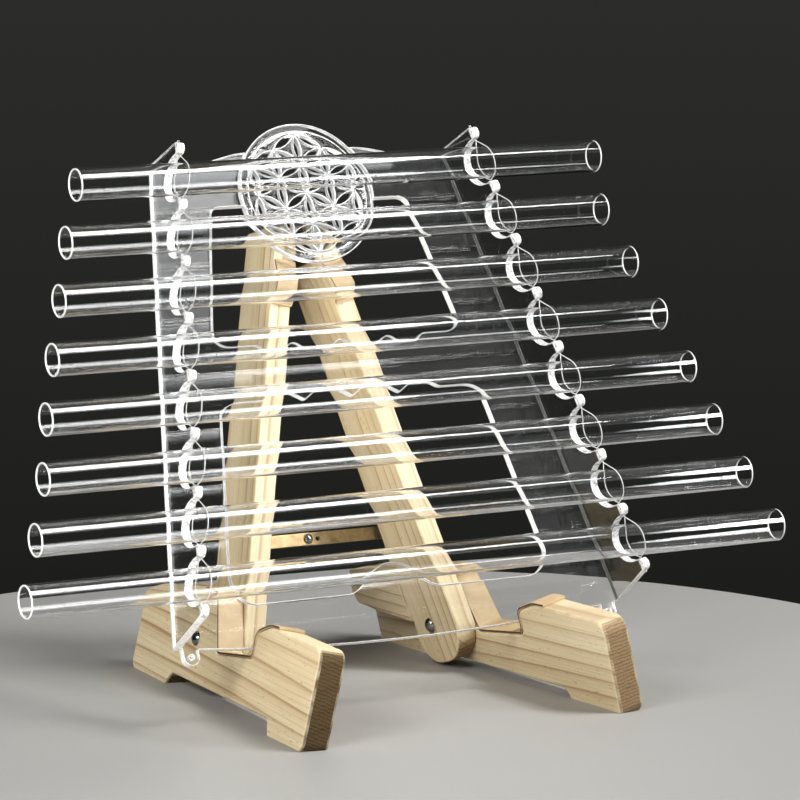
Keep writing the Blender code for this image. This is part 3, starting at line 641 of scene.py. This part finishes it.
def plate_half(n):
    """Right half of the outline, from the middle of the bottom edge round to the middle of the upper window's sill."""
    reach = TAB_X - TAB_R
    half = [(reach * i / 24, bow(reach * i / 24)) for i in range(25)]
    half += arc(TAB_X, TAB_V, TAB_R, math.pi, 2.0 * math.pi, 3 * n)
    half += [(TAB_X + TAB_R, CORNER_V)]
    bite = DISC_R + GAP
    lo, hi = 0.0, 1.2
    for _ in range(40):
        mid = 0.5 * (lo + hi)
        if DISC_V + bite * math.sin(mid) < top_edge(bite * math.cos(mid)):
            lo = mid
        else:
            hi = mid
    half += rounded([(half_width(CORNER_V) + EDGE, CORNER_V, 0.0), (half_width(TOP_V) + EDGE, TOP_V, 6.0 * MM), (75.0 * MM, TOP_V, 0.0)], n, False)
    steps = 3 * n
    edge0, edge1 = 75.0 * MM, bite * math.cos(lo)
    half += [(edge0 + (edge1 - edge0) * i / steps, top_edge(edge0 + (edge1 - edge0) * i / steps)) for i in range(1, steps)]
    sill = 118.5 * MM
    half += arc(0.0, DISC_V, bite, lo, math.asin((sill - DISC_V) / bite), 4 * n)
    slope = 0.2095
    side_top = 68.1 * MM
    side_low = side_top + slope * (sill - 28.3 * MM)
    half += rounded([(bite * math.cos(0.137), sill, 0.0), (side_top, sill, 7.0 * MM), (side_low, 28.3 * MM, 12.0 * MM), (62.0 * MM, 28.3 * MM, 0.0)], n, False)[1:]
    steps = 12 * n
    half += [(x, upper_bottom(x)) for x in (59.0 * MM * (1.0 - i / steps) for i in range(steps + 1))]
    return half


def lower_half(n):
    steps = 12 * n
    half = [(x, lower_top(x)) for x in (66.0 * MM * i / steps for i in range(steps + 1))]
    half += rounded([(66.0 * MM, -7.0 * MM, 0.0), (89.7 * MM, -7.0 * MM, 14.0 * MM), (111.7 * MM, -133.0 * MM, 16.0 * MM), (36.0 * MM, -133.0 * MM, 0.0)], n, False)[1:]
    steps = 6 * n
    half += [(x, -133.0 * MM + 18.0 * MM * math.cos(0.5 * math.pi * x / (33.0 * MM)) ** 2) for x in (33.0 * MM * (1.0 - i / steps) for i in range(steps + 1))]
    return half


plate = sheet(
    "harp_plate",
    [mirrored(plate_half(10)), mirrored(lower_half(10)), ring(TAB_X, TAB_V, TAB_HOLE, 32), ring(-TAB_X, TAB_V, TAB_HOLE, 32)],
    PLATE_T, 0.35 * MM, HARP @ PLATE_AT, [ACRYLIC, PLATE_EDGE, RIGHT_EDGE_PAINTED_SHADE, FOOT_EDGE_PAINTED_LIGHT],
)
# The plate's right wall takes the clearer edge so it reads dim, while the left wall stays milky white: painted shade
# and painted light.
for face in plate.data.polygons:
    if face.material_index and face.center.y > CORNER_V and face.center.x > half_width(face.center.y) + EDGE - 1.0 * MM:
        face.material_index = 2
    # The plate's bottom edge and tabs take the opaque white: painted light.
    elif face.material_index and face.center.y < CORNER_V + 1.0 * MM:
        face.material_index = 3
piece(plate, "main_plate", "harp")


def lattice(i, j):
    return Vector((PETAL_R * i * math.sqrt(0.75), PETAL_R * (0.5 * i + j)))


def petals(n):
    """Lens cut-outs along every edge of a two-ring triangular lattice, drawn in a little so that webs remain."""
    out = []
    for i in range(-2, 3):
        for j in range(-2, 3):
            if abs(i + j) > 2:
                continue
            p = lattice(i, j)
            for di, dj in ((1, 0), (0, 1), (-1, 1)):
                if abs(i + di) > 2 or abs(j + dj) > 2 or abs(i + j + di + dj) > 2:
                    continue
                q = lattice(i + di, j + dj)
                mid = (p + q) / 2
                along = (q - p).normalized()
                across = Vector((-along.y, along.x))
                lens = []
                for side in (1.0, -1.0):
                    for k in range(n):
                        x = (-1.0 + 2.0 * k / n) * 0.5 * PETAL_R
                        y = math.sqrt(PETAL_R**2 - x * x) - PETAL_R * math.sqrt(0.75)
                        c = mid + along * (side * x * 0.83) + across * (side * y * 0.84)
                        lens.append((c.x, c.y))
                out.append(lens)
    return out


disc_at = HARP @ PLATE_AT @ Matrix.Translation((0.0, DISC_V, 0.0))
disc = sheet("rosette_disc", [ring(0.0, 0.0, DISC_R, 192)] + petals(14), PLATE_T, 0.55 * MM, disc_at, [ACRYLIC, DISC_EDGE, COMB_EDGE])
for face in disc.data.polygons:
    if 0.02 < abs(face.normal.z) < 0.9999:
        face.material_index = 2
groove = [(RING_R - 0.35 * MM, PLATE_T / 2 + 0.1 * MM), (RING_R + 0.35 * MM, PLATE_T / 2 + 0.1 * MM), (RING_R, PLATE_T / 2 - 0.45 * MM)]
bore(disc, [cutter(groove, 192, disc_at, 2, True)])
piece(disc, "flower_disc", "harp")

STRETCH = math.sqrt(1.0 + TAPER**2)
FINGER_V = [((FINGERS - 1) / 2 - i) * PITCH for i in range(FINGERS)]
TUBE_V = [0.5 * (FINGER_V[i] + FINGER_V[i + 1]) - TUBE_DROP for i in range(FINGERS - 1)]


def cheek_outline(n):
    foot = PLATE_FRONT + GAP
    line = [(foot, CORNER_V * STRETCH), (foot, (FINGER_V[0] + FINGER_R) * STRETCH)]
    for i, v in enumerate(FINGER_V):
        s = v * STRETCH
        line += arc(0.0, s, FINGER_R, 0.5 * math.pi, -0.5 * math.pi, 3 * n)
        if i < FINGERS - 1:
            mid = 0.5 * (v + FINGER_V[i + 1]) * STRETCH
            half = 0.5 * PITCH * STRETCH - FINGER_R
            for k in range(5 * n + 1):
                t = math.pi * k / (5 * n)
                line.append((SCALLOP_TOP - SCALLOP_DEPTH * math.sin(t), mid + half * math.cos(t)))
    return line


for side, label in ((-1.0, "left"), (1.0, "right")):
    up = Vector((-side * TAPER, 1.0, 0.0)).normalized()
    out = Vector((0.0, 0.0, 1.0))
    cheek_at = HARP @ columns(out, up, out.cross(up), (side * HALF_W, 0.0, 0.0))
    cheek = sheet(label + "_comb", [cheek_outline(8)], CHEEK_T, 0.35 * MM, cheek_at, [ACRYLIC, COMB_EDGE, FOOT_PAINTED_SHADE, FOOT_EDGE_PAINTED_LIGHT])
    for face in cheek.data.polygons:
        # The right cheek's foot face takes the near black finish: painted shade.
        if side > 0 and face.center.x < PLATE_FRONT + 0.5 * MM:
            face.material_index = 2
        # The cheek's lower edge below the last finger takes the opaque white: painted light.
        elif face.material_index and face.center.y < FINGER_V[-1] * STRETCH - 0.9 * FINGER_R:
            face.material_index = 3
    bore(cheek, [cutter([(0.0, 0.2), (LINE_HOLE_R, 0.2), (LINE_HOLE_R, -0.2), (0.0, -0.2)], 24, cheek_at @ Matrix.Rotation(-math.pi / 2, 4, "X"), 1)])
    piece(cheek, label + "_cheek", "harp")

# tubes, with fire-rounded rims
for i, length in enumerate(TUBE_LENGTHS):
    x = -HARP_X + (TUBE_1_SLID if i == 0 else 0.0)
    r0, r1, half, ease = TUBE_D / 2 - TUBE_WALL, TUBE_D / 2, length / 2, 0.42 * MM
    rim = arc(r1 - ease, half - ease, ease, 0.0, 0.5 * math.pi, 7) + arc(r0 + ease, half - ease, ease, 0.5 * math.pi, math.pi, 7)
    upper = [(r1, half - 3.0 * MM), (r1, half - 0.8 * MM)] + rim + [(r0, half - 0.8 * MM), (r0, half - 3.0 * MM)]
    profile = upper + [(r, -z) for r, z in upper[::-1]]
    at = HARP @ Matrix.Translation((x, TUBE_V[i], TUBE_OUT)) @ Matrix.Rotation(math.pi / 2, 4, "Y")
    tube = turned("quartz_tube_%d" % (i + 1), profile, 112, at, [QUARTZ, QUARTZ_RIM], True, None, False)
    for face in tube.data.polygons:
        face.material_index = 1 if abs(face.center.z) > half - 0.79 * MM else 0
    piece(tube, "tube_%d" % (i + 1), "tube_%d_body" % (i + 1))


# lines
def tangent_run(v0, v1, cv, cn, r, front, n):
    sign = 1.0 if front else -1.0
    a = math.atan2(sign * (0.0 - cn), v0 - cv)
    b = math.atan2(sign * (0.0 - cn), v1 - cv) % (2.0 * math.pi)
    a += math.acos(r / math.hypot(v0 - cv, cn))
    b -= math.acos(r / math.hypot(v1 - cv, cn))
    return [(cv + r * math.cos(a + (b - a) * k / n), cn + sign * r * math.sin(a + (b - a) * k / n)) for k in range(n + 1)]


def line_run(front, n):
    reach = FINGER_R + 0.5 * MM
    r = TUBE_D / 2 + LINE_D / 2 + 0.55 * MM
    run = []
    for i in range(FINGERS - 1):
        v0, v1 = FINGER_V[i] - reach, FINGER_V[i + 1] + reach
        run += [(v0, 0.0)] + tangent_run(v0, v1, TUBE_V[i], TUBE_OUT, r, front, n) + [(v1, 0.0)]
    return run


def line_path(side, n):
    front, back = line_run(True, n), line_run(False, n)
    end = FINGER_R + 1.2 * MM
    path = [(FINGER_V[0] + end, 0.0, -LINE_SIDE)] + [(v, z, -LINE_SIDE) for v, z in front] + [(FINGER_V[-1] - end, 0.0, -LINE_SIDE)]
    path += [(FINGER_V[-1] - end, 0.0, LINE_SIDE)] + [(v, z, LINE_SIDE) for v, z in back[::-1]] + [(FINGER_V[0] + end, 0.0, LINE_SIDE)]
    return [(side * (half_width(v) + s), v, z) for v, z, s in path]


for side, label in ((-1.0, "left"), (1.0, "right")):
    curve = bpy.data.curves.new(label + "_string", "CURVE")
    curve.dimensions = "3D"
    curve.bevel_depth = LINE_D / 2
    curve.bevel_resolution = 3
    path = line_path(side, 14)
    spline = curve.splines.new("POLY")
    spline.points.add(len(path) - 1)
    for point, co in zip(spline.points, path):
        point.co = (*co, 1.0)
    spline.use_cyclic_u = True
    spline.use_smooth = True
    helper = bpy.data.objects.new(label + "_string_path", curve)
    scene.collection.objects.link(helper)
    graph = bpy.context.evaluated_depsgraph_get()
    graph.update()
    mesh = bpy.data.meshes.new_from_object(helper.evaluated_get(graph))
    bpy.data.objects.remove(helper, do_unlink=True)
    mesh.materials.clear()
    string = link_mesh(label + "_string", mesh, HARP, [NYLON], False)
    piece(string, label + "_line", "harp")

# ---- stand ----
ETA, PHI = math.radians(STAND_LEAN), math.radians(SPLAY)
UP_LEG = Vector((0.0, math.sin(ETA), math.cos(ETA)))
APEX = Vector((0.0, HARP_Y, APEX_Z))
INSET = HINGE_DROP * math.sin(PHI)
BOARD = columns(Vector((0.0, -1.0, 0.0)), Vector((0.0, 0.0, 1.0)), Vector((-1.0, 0.0, 0.0)))


def leg_front(n):
    d = HINGE_DROP
    return rounded(
        [
            (LEG_FRONT, -20.0 * MM + d, 0.0), (LEG_FRONT, NOSE_TOP + d, 4.0 * MM), (NOSE_TIP, -47.0 * MM + d, 6.0 * MM), (NOSE_TIP + 0.6 * MM, -57.5 * MM + d, 5.0 * MM),
            (LEG_FRONT, NOSE_BOTTOM + d, 3.5 * MM), (LEG_FRONT, -80.0 * MM + d, 0.0),
        ],
        n, False,
    )


def leg_outline(n):
    d = HINGE_DROP
    rest = rounded(
        [
            (LEG_FRONT, -80.0 * MM + d, 0.0), (LEG_FRONT, LEG_BOTTOM + d, 22.0 * MM), (LEG_BACK_LOW, LEG_BOTTOM + d, 20.0 * MM), (LEG_BACK_LOW, -250.0 * MM + d, 0.0),
            (LEG_BACK_TOP, LEG_TOP + d, 2.5 * MM), (LEG_FRONT, LEG_TOP + d, 2.5 * MM), (LEG_FRONT, -20.0 * MM + d, 0.0),
        ],
        n, False,
    )
    return leg_front(n)[:-1] + rest[:-1]


def foot_notch(n):
    return rounded(
        [
            (-44.0 * MM, -271.5 * MM, 0.0), (-25.0 * MM, -273.0 * MM, 7.0 * MM), (-9.0 * MM, FLOOR_BACK, 6.0 * MM), (LIP_U, FLOOR_FRONT, 5.0 * MM),
            (LIP_U - 1.0 * MM, -281.0 * MM, 5.0 * MM), (60.0 * MM, -274.5 * MM, 20.0 * MM), (72.0 * MM, -274.0 * MM, 0.0),
        ],
        n, False,
    )


def foot_outline(n):
    rest = rounded(
        [
            (72.0 * MM, -274.0 * MM, 0.0), (134.0 * MM, -274.0 * MM, 9.0 * MM), (134.5 * MM, -336.2 * MM, 7.0 * MM), (110.0 * MM, -336.2 * MM, 0.0), (83.7 * MM, -336.2 * MM, 0.0),
            (79.0 * MM, -326.0 * MM, 6.0 * MM), (-69.0 * MM, -326.0 * MM, 6.0 * MM), (-75.5 * MM, -334.4 * MM, 0.0), (-110.0 * MM, -334.4 * MM, 0.0), (-131.6 * MM, -334.4 * MM, 7.0 * MM),
            (-132.0 * MM, -282.0 * MM, 9.0 * MM), (-112.0 * MM, -273.0 * MM, 16.0 * MM), (-60.0 * MM, -271.0 * MM, 0.0), (-44.0 * MM, -271.5 * MM, 0.0),
        ],
        n, False,
    )
    return foot_notch(n)[:-1] + rest[:-1]


def heel_outline(n):
    return rounded(
        [
            (-129.5 * MM, -277.5 * MM, 5.0 * MM), (-73.2 * MM, -268.0 * MM, 2.0 * MM), (-63.4 * MM, -302.5 * MM, 1.5 * MM), (-104.0 * MM, -301.5 * MM, 3.0 * MM), (-129.5 * MM, -299.5 * MM, 6.0 * MM),
        ],
        n,
    )


def on_floor(obj):
    """Planes the foot off at the floor, in place of the CAD's ground cut."""
    made = bmesh.new()
    made.from_mesh(obj.data)
    back = obj.matrix_world.inverted()
    at = back @ Vector((0.0, 0.0, 0.0))
    normal = (back.to_3x3() @ Vector((0.0, 0.0, 1.0))).normalized()
    cut = bmesh.ops.bisect_plane(made, geom=made.verts[:] + made.edges[:] + made.faces[:], plane_co=at, plane_no=normal, clear_inner=True, dist=1e-7)
    rim = [g for g in cut["geom_cut"] if isinstance(g, bmesh.types.BMEdge)]
    bmesh.ops.holes_fill(made, edges=rim, sides=0)
    bmesh.ops.recalc_face_normals(made, faces=made.faces)
    finish_mesh(made, obj.data)


LOOKS = {
    ("left", "leg"): pine("pine_left_leg", "YXZ", (0.128, 0.016), 0.10, 0.3),
    ("right", "leg"): pine("pine_right_leg", "YXZ", (0.133, -0.020), -0.12, 1.7, 46.0, 1.0, 0.92),
    ("left", "foot"): pine("pine_left_foot", "XYZ", (0.352, 0.012), 0.32, 2.9, 25.0, 0.21, 1.0, 12.0, 0.05),
    ("right", "foot"): pine("pine_right_foot", "XYZ", (0.362, -0.016), -0.26, 4.1, 29.0, 0.72, 0.90, 8.0),
    ("left", "heel"): pine("pine_left_heel", "XYZ", (0.325, 0.020), 0.2, 5.3),
    ("right", "heel"): pine("pine_right_heel", "XYZ", (0.330, -0.018), -0.2, 6.1),
}

for side, label in ((-1.0, "left"), (1.0, "right")):
    body = label + "_side"
    side_at = Matrix.Translation(APEX - UP_LEG * HINGE_DROP) @ Matrix.Rotation(-ETA, 4, "X") @ Matrix.Rotation(-side * PHI, 4, "Y")
    level_at = side_at @ Matrix.Translation((0.0, 0.0, HINGE_DROP)) @ Matrix.Rotation(ETA, 4, "X")
    leg_at = side_at @ Matrix.Translation((side * (INSET + LEG_T / 2), 0.0, 0.0)) @ BOARD
    foot_at = level_at @ Matrix.Translation((side * (INSET + LEG_T + LAYER + FOOT_T / 2), 0.0, 0.0)) @ BOARD
    heel_at = level_at @ Matrix.Translation((side * (INSET + LEG_T / 2), 0.0, 0.0)) @ BOARD
    out_x = INSET + LEG_T + LAYER + FOOT_T + GAP
    in_x = INSET - GAP
    bolt_at = level_at @ Matrix.Translation((0.0, -BOLT_U, BOLT_W)) @ Matrix.Rotation(side * math.pi / 2, 4, "Y")
    back_b = LEG_BACK_TOP + (LEG_BACK_LOW - LEG_BACK_TOP) * (LEG_TOP - STAY_A) / (LEG_TOP + 250.0 * MM) - 0.6 * MM
    layer_b = back_b if side < 0 else back_b - STAY_T - STAY_LAYER
    pivot_x, pivot_z = INSET + LEG_T / 2, STAY_A + HINGE_DROP
    reach = pivot_x * math.cos(PHI) - pivot_z * math.sin(PHI)
    pivot_at = side_at @ Matrix.Translation((side * pivot_x, 0.0, pivot_z)) @ Matrix.Rotation(side * PHI, 4, "Y")
    screw_at = pivot_at @ Matrix.Translation((0.0, -(layer_b - STAY_T - GAP), 0.0)) @ Matrix.Rotation(-math.pi / 2, 4, "X")
    depth = layer_b - STAY_T - GAP - (back_b + 10.0 * MM)
    inward = [side_at @ Matrix.Translation((side * (INSET - GAP), -b, -27.0 * MM + HINGE_DROP)) @ Matrix.Rotation(side * math.pi / 2, 4, "Y") for b in (-126.5 * MM, -108.5 * MM)]

    def drill(r, z0, z1, at, n=24):
        return cutter([(0.0, z1), (r, z1), (r, z0), (0.0, z0)], n, at)

    def sink(at):
        return cutter([(0.0, 9.5 * MM), (1.5 * MM, 9.5 * MM), (1.5 * MM, 0.1 * MM), (2.7 * MM, -0.2 * MM), (2.7 * MM, -3.0 * MM), (0.0, -3.0 * MM)], 24, at)

    # boards
    wood = [LOOKS[label, "leg"]] * 2
    leg = sheet(label + "_leg_board", [leg_outline(8)], LEG_T, 1.3 * MM, leg_at, wood, 4)
    bore(leg, [drill(BOLT_R + GAP, -0.01, 0.06, bolt_at), drill(1.6 * MM, depth - 1.0 * MM, 2.0 * MM, screw_at)] + [sink(at) for at in inward])
    piece(leg, label + "_leg", body, 1)
    wood = [LOOKS[label, "foot"]] * 2
    foot = sheet(label + "_foot_board", [foot_outline(8)], FOOT_T, 1.8 * MM, foot_at, wood, 5)
    on_floor(foot)
    bore(foot, [drill(BOLT_R + GAP, -0.01, 0.06, bolt_at)])
    piece(foot, label + "_foot", body, 0)
    heel = sheet(label + "_stop_block", [heel_outline(8)], LEG_T, 1.3 * MM, heel_at, [LOOKS[label, "heel"]] * 2, 4)
    piece(heel, label + "_heel_block", body, 0)

    # leathers
    hide = [LEATHER_EDGE, LEATHER]
    rest = sheet(label + "_nose_leather", [strip(leg_front(8)[1:-1], GAP, GAP + LEATHER_T)], LEG_T, 0.3 * MM, leg_at, hide)
    piece(rest, label + "_rest_leather", body)
    ledge = sheet(label + "_notch_leather", [strip(foot_notch(8), GAP, GAP + LEATHER_T)], FOOT_T, 0.3 * MM, foot_at, hide)
    piece(ledge, label + "_ledge_leather", body)

    # foot bolt and its cap nut
    head, six = socket_dome(DOME_R, DOME_H, 1.5 * MM, 1.5 * MM, 12)
    profile = [(r, out_x + z) for r, z in head] + [(DOME_R - 0.05 * MM, out_x), (BOLT_R, out_x), (BOLT_R, in_x - 0.8 * MM), (0.0, in_x - 0.8 * MM)]
    bolt = turned(label + "_dome_bolt", profile, 48, bolt_at, [STEEL], False, hexed(six, 1.5 * MM))
    piece(bolt, label + "_pivot_bolt", body)
    bore_r = BOLT_R + GAP
    cap = [(r, in_x - z) for r, z in dome(DOME_R, DOME_H, 14)][::-1]
    nut = turned(label + "_dome_nut", [(0.0, in_x - 1.3 * MM), (bore_r, in_x - 1.3 * MM), (bore_r, in_x), (DOME_R - 0.06 * MM, in_x)] + cap, 48, bolt_at, [STEEL])
    piece(nut, label + "_cap_nut", body)

    # hinge leaf, knuckles and screws
    flat_at = side_at @ Matrix.Translation((side * (INSET - GAP - LEAF_T / 2), 0.0, 0.0)) @ BOARD
    low, high = LEAF_LOW + HINGE_DROP, -3.4 * MM
    mesh, made = sheet_mesh("leaf", [rounded([(LEAF_B0, high, 0.0), (LEAF_B1, high, 0.0), (LEAF_B1, low, 4.0 * MM), (LEAF_B0, low, 4.0 * MM)], 8)], LEAF_T, 0.2 * MM)
    finish_mesh(made, mesh)
    leaf = link_mesh("hinge_leaf_" + label, mesh, flat_at, [BRONZE, BRONZE])
    bore(leaf, [sink(at) for at in inward])
    third = (LEAF_B1 - LEAF_B0) / 3
    spans = [(LEAF_B0, LEAF_B0 + third - GAP), (LEAF_B1 - third + GAP, LEAF_B1)] if side < 0 else [(LEAF_B0 + third + GAP, LEAF_B1 - third - GAP)]
    made = bmesh.new()
    made.from_mesh(leaf.data)
    to_leaf = flat_at.inverted() @ side_at
    for b0, b1 in spans:
        extra = bmesh.new()
        e = 0.25 * MM
        barrel = [(KNUCKLE_R - e, b1), (KNUCKLE_R, b1 - e), (KNUCKLE_R, b0 + e), (KNUCKLE_R - e, b0), (KNUCKLE_BORE, b0), (KNUCKLE_BORE, b1)]
        lathe(extra, barrel, 40, True)
        bmesh.ops.transform(extra, matrix=Matrix.Rotation(math.pi / 2, 4, "X"), verts=extra.verts)
        across = side * (INSET - GAP - LEAF_T / 2)
        shell = bmesh.ops.create_cube(extra, size=1.0)["verts"]
        lo, hi = (across - LEAF_T / 2, -b1, high - 0.6 * MM), (across + LEAF_T / 2, -b0, -1.4 * MM)
        for vert in shell:
            vert.co = [lo[k] + (hi[k] - lo[k]) * (vert.co[k] + 0.5) for k in range(3)]
        bmesh.ops.transform(extra, matrix=to_leaf, verts=extra.verts)
        bmesh.ops.recalc_face_normals(extra, faces=extra.faces)
        part = bpy.data.meshes.new("knuckle")
        finish_mesh(extra, part)
        made.from_mesh(part)
        bpy.data.meshes.remove(part)
    finish_mesh(made, leaf.data)
    piece(leaf, "hinge_%s_leaf" % label, body)
    for k, at in enumerate(inward):
        head = [(0.0, -0.7 * MM), (0.85 * MM, -0.7 * MM), (0.9 * MM, -0.75 * MM), (0.9 * MM, -1.25 * MM), (0.98 * MM, -1.4 * MM), (2.25 * MM, -1.4 * MM), (2.4 * MM, -1.25 * MM)]
        screw = turned("hinge_%s_screw_head_%d" % (label, k + 1), head + [(2.4 * MM, -0.5 * MM), (1.2 * MM, -0.1 * MM), (1.2 * MM, 9.0 * MM), (0.0, 9.0 * MM)], 36, at, [BRONZE], False, hexed({1, 2, 3}, 0.9 * MM))
        piece(screw, "hinge_%s_screw_%d" % (label, k + 1), body)

    # folding stay
    link_body = label + "_stay_link"
    facing = pivot_at @ columns(Vector((1.0, 0.0, 0.0)), Vector((0.0, 0.0, 1.0)), Vector((0.0, -1.0, 0.0)), (0.0, -(layer_b - STAY_T / 2), 0.0))
    w = STAY_W / 2
    x0, x1 = (0.0, reach) if side < 0 else (-reach, 0.0)
    link = arc(x1, 0.0, w, -0.5 * math.pi, 0.5 * math.pi, 20) + arc(x0, 0.0, w, 0.5 * math.pi, 1.5 * math.pi, 20)
    holes = [ring(x0, 0.0, 1.7 * MM, 28), ring(x1, 0.0, 1.7 * MM, 28)]
    if side > 0:
        holes.append(ring(-reach + 8.3 * MM, 0.0, 1.5 * MM, 28))
    stay = sheet(label + "_stay_strip", [link] + holes, STAY_T, 0.35 * MM, facing, [STAY_METAL, STAY_METAL])
    piece(stay, label + "_stay", link_body)
    crown, six = socket_dome(3.2 * MM, 1.6 * MM, 1.05 * MM, 0.9 * MM, 10)
    screw = turned(label + "_stay_dome_screw", crown + [(3.15 * MM, 0.0), (1.3 * MM, 0.0), (1.3 * MM, depth), (0.0, depth)], 40, screw_at, [STEEL], False, hexed(six, 1.05 * MM))
    piece(screw, label + "_stay_screw", body)
    plain = dome(3.2 * MM, 1.6 * MM, 10)
    rivet = plain + [(3.15 * MM, 0.0), (1.35 * MM, 0.0), (1.35 * MM, -STAY_T - GAP), (0.0, -STAY_T - GAP)]
    if side > 0:
        spacer_at = pivot_at @ Matrix.Translation((0.0, -(back_b - STAY_T - 0.1 * MM), 0.0)) @ Matrix.Rotation(-math.pi / 2, 4, "X")
        e = 0.2 * MM
        washer = [(1.7 * MM, 0.0), (3.6 * MM - e, 0.0), (3.6 * MM, -e), (3.6 * MM, -STAY_T + e), (3.6 * MM - e, -STAY_T), (1.7 * MM, -STAY_T)]
        piece(turned("stay_spacer_washer", washer, 40, spacer_at, [STEEL], True), "right_stay_spacer", body)
        tail_at = pivot_at @ Matrix.Translation((-reach, -(layer_b - STAY_T - GAP), 0.0)) @ Matrix.Rotation(-math.pi / 2, 4, "X")
        piece(turned("stay_rivet_outer", rivet, 40, tail_at, [STEEL]), "stay_rivet_tail", link_body)
    else:
        head_at = pivot_at @ Matrix.Translation((reach, -(layer_b + GAP), 0.0)) @ Matrix.Rotation(math.pi / 2, 4, "X")
        piece(turned("stay_rivet_inner", rivet, 40, head_at, [STEEL]), "stay_rivet_head", link_body)
        e = 0.25 * MM
        ends = [(0.0, LEAF_B1 + 1.0 * MM), (PIN_R - e, LEAF_B1 + 1.0 * MM), (PIN_R, LEAF_B1 + 1.0 * MM - e)]
        ends += [(PIN_R, LEAF_B0 - 1.0 * MM + e), (PIN_R - e, LEAF_B0 - 1.0 * MM), (0.0, LEAF_B0 - 1.0 * MM)]
        piece(turned("hinge_axle", ends, 36, side_at @ Matrix.Rotation(math.pi / 2, 4, "X"), [BRONZE]), "hinge_pin", body)

# ---- stage and light ----
FLOOR_R = 0.40


def floor_material():
    made, tree, shader = fresh("pale_floor")
    here = coords(tree)
    cloud = noise(tree, here, 9.0, 4.0, 0.6)
    plug(tree, ramp(tree, cloud, [(0.3, (0.31, 0.307, 0.298)), (0.7, (0.35, 0.346, 0.337))]), shader.inputs["Base Color"])
    plug(tree, span(tree, cloud, 0.3, 0.7, 0.50, 0.62), shader.inputs["Roughness"])
    plug(tree, bumped(tree, noise(tree, here, 900.0, 2.0), 0.05, 0.0003), shader.inputs["Normal"])
    return made


ground = turned("floor", [(0.0, 0.0), (FLOOR_R - 6.0 * MM, 0.0), (FLOOR_R - 2.0 * MM, -1.5 * MM), (FLOOR_R, -6.0 * MM), (FLOOR_R, -18.0 * MM), (0.0, -18.0 * MM)], 160, Matrix.Translation((0.0, 0.0, -0.05 * MM)), [floor_material()])


def lamp(name, at, aim, size, radiance, colour=(1.0, 1.0, 1.0), shape="RECTANGLE", fade=None, across=False):
    """A soft panel of the given brightness. fade is the part of its height, from below, or of its width, from the left, over which it comes up to full."""
    light = bpy.data.lights.new(name, "AREA")
    light.shape = shape
    light.size, light.size_y = size
    light.energy = radiance * math.pi * size[0] * size[1] * (0.25 * math.pi if shape == "ELLIPSE" else 1.0)
    light.color = colour
    if fade:
        light.use_nodes = True
        tree = light.node_tree
        place = node(tree, "SeparateXYZ", {0: node(tree, "NewGeometry").outputs["Parametric"]})
        plug(tree, span(tree, place.outputs[0 if across else 1], fade[0], fade[1], 0.0, 1.0), tree.nodes["Emission"].inputs["Strength"])
    obj = bpy.data.objects.new(name, light)
    scene.collection.objects.link(obj)
    obj.location = at
    obj.rotation_mode = "QUATERNION"
    obj.rotation_quaternion = (Vector(aim) - Vector(at)).to_track_quat("-Z", "Y")
    return obj


def panel(name, x, elevation, reach, size, radiance, **more):
    """A panel facing the tubes square on, at an elevation about their middle, so its reflection runs straight along them."""
    angle = math.radians(elevation)
    at = (x, -reach * math.cos(angle), 0.20 + reach * math.sin(angle))
    return lamp(name, at, (x, 0.0, 0.20), size, radiance, **more)


WARM = (1.0, 0.985, 0.96)
panel("overhead_softbox", 0.97, 67.0, 2.28, (0.66, 1.12), 25.0, colour=WARM)
panel("overhead_tip", 1.29, 66.0, 2.29, (0.54, 0.42), 24.0, colour=WARM, shape="ELLIPSE")
panel("grey_card", 0.93, 46.8, 2.28, (0.36, 0.34), 6.5, fade=(0.1, 0.9))
panel("grey_card_top", 1.21, 50.3, 2.28, (0.20, 0.14), 4.5, fade=(0.0, 0.5))
panel("right_card", 1.45, 43.5, 2.30, (0.36, 0.60), 0.4)
panel("right_strip", 1.85, 39.5, 2.28, (0.64, 0.78), 34.0, shape="ELLIPSE", fade=(0.05, 0.24), across=True)
for gleam in (
    panel("right_gleam", 2.06, 41.0, 2.28, (0.96, 1.56), 30.0, shape="ELLIPSE", fade=(0.03, 0.10), across=True),
    panel("right_gleam_tip", 1.68, 30.5, 2.28, (0.18, 0.36), 24.0, fade=(0.03, 0.40), across=True),
):
    gleam.visible_diffuse = False
lamp("left_softbox", (-1.35, -0.75, 0.95), (0.0, 0.0, 0.15), (0.9, 0.8), 12.0, WARM)
fill = lamp("low_front_fill", (-1.25, -1.75, -0.36), (0.0, 0.0, 0.20), (0.9, 0.60), 27.0, WARM)
fill.visible_transmission = False

world = bpy.data.worlds.new("studio")
scene.world = world
world.use_nodes = True
sky = world.node_tree
height = node(sky, "SeparateXYZ", {0: node(sky, "TexCoord").outputs["Generated"]}).outputs[2]
plug(sky, ramp(sky, span(sky, height, -0.22, -0.03, 0.0, 1.0), [(0.0, (0.0092, 0.0101, 0.0083)), (1.0, (0.0285, 0.029, 0.0265))]), sky.nodes["Background"].inputs["Color"])
sky.nodes["Background"].inputs["Strength"].default_value = 1.0

scene.view_settings.view_transform = "Standard"
scene.cycles.max_bounces = 40
scene.cycles.transmission_bounces = 40
scene.cycles.glossy_bounces = 24
scene.cycles.transparent_max_bounces = 40
scene.cycles.caustics_reflective = False
scene.cycles.caustics_refractive = False

low, high = CAD_BOX
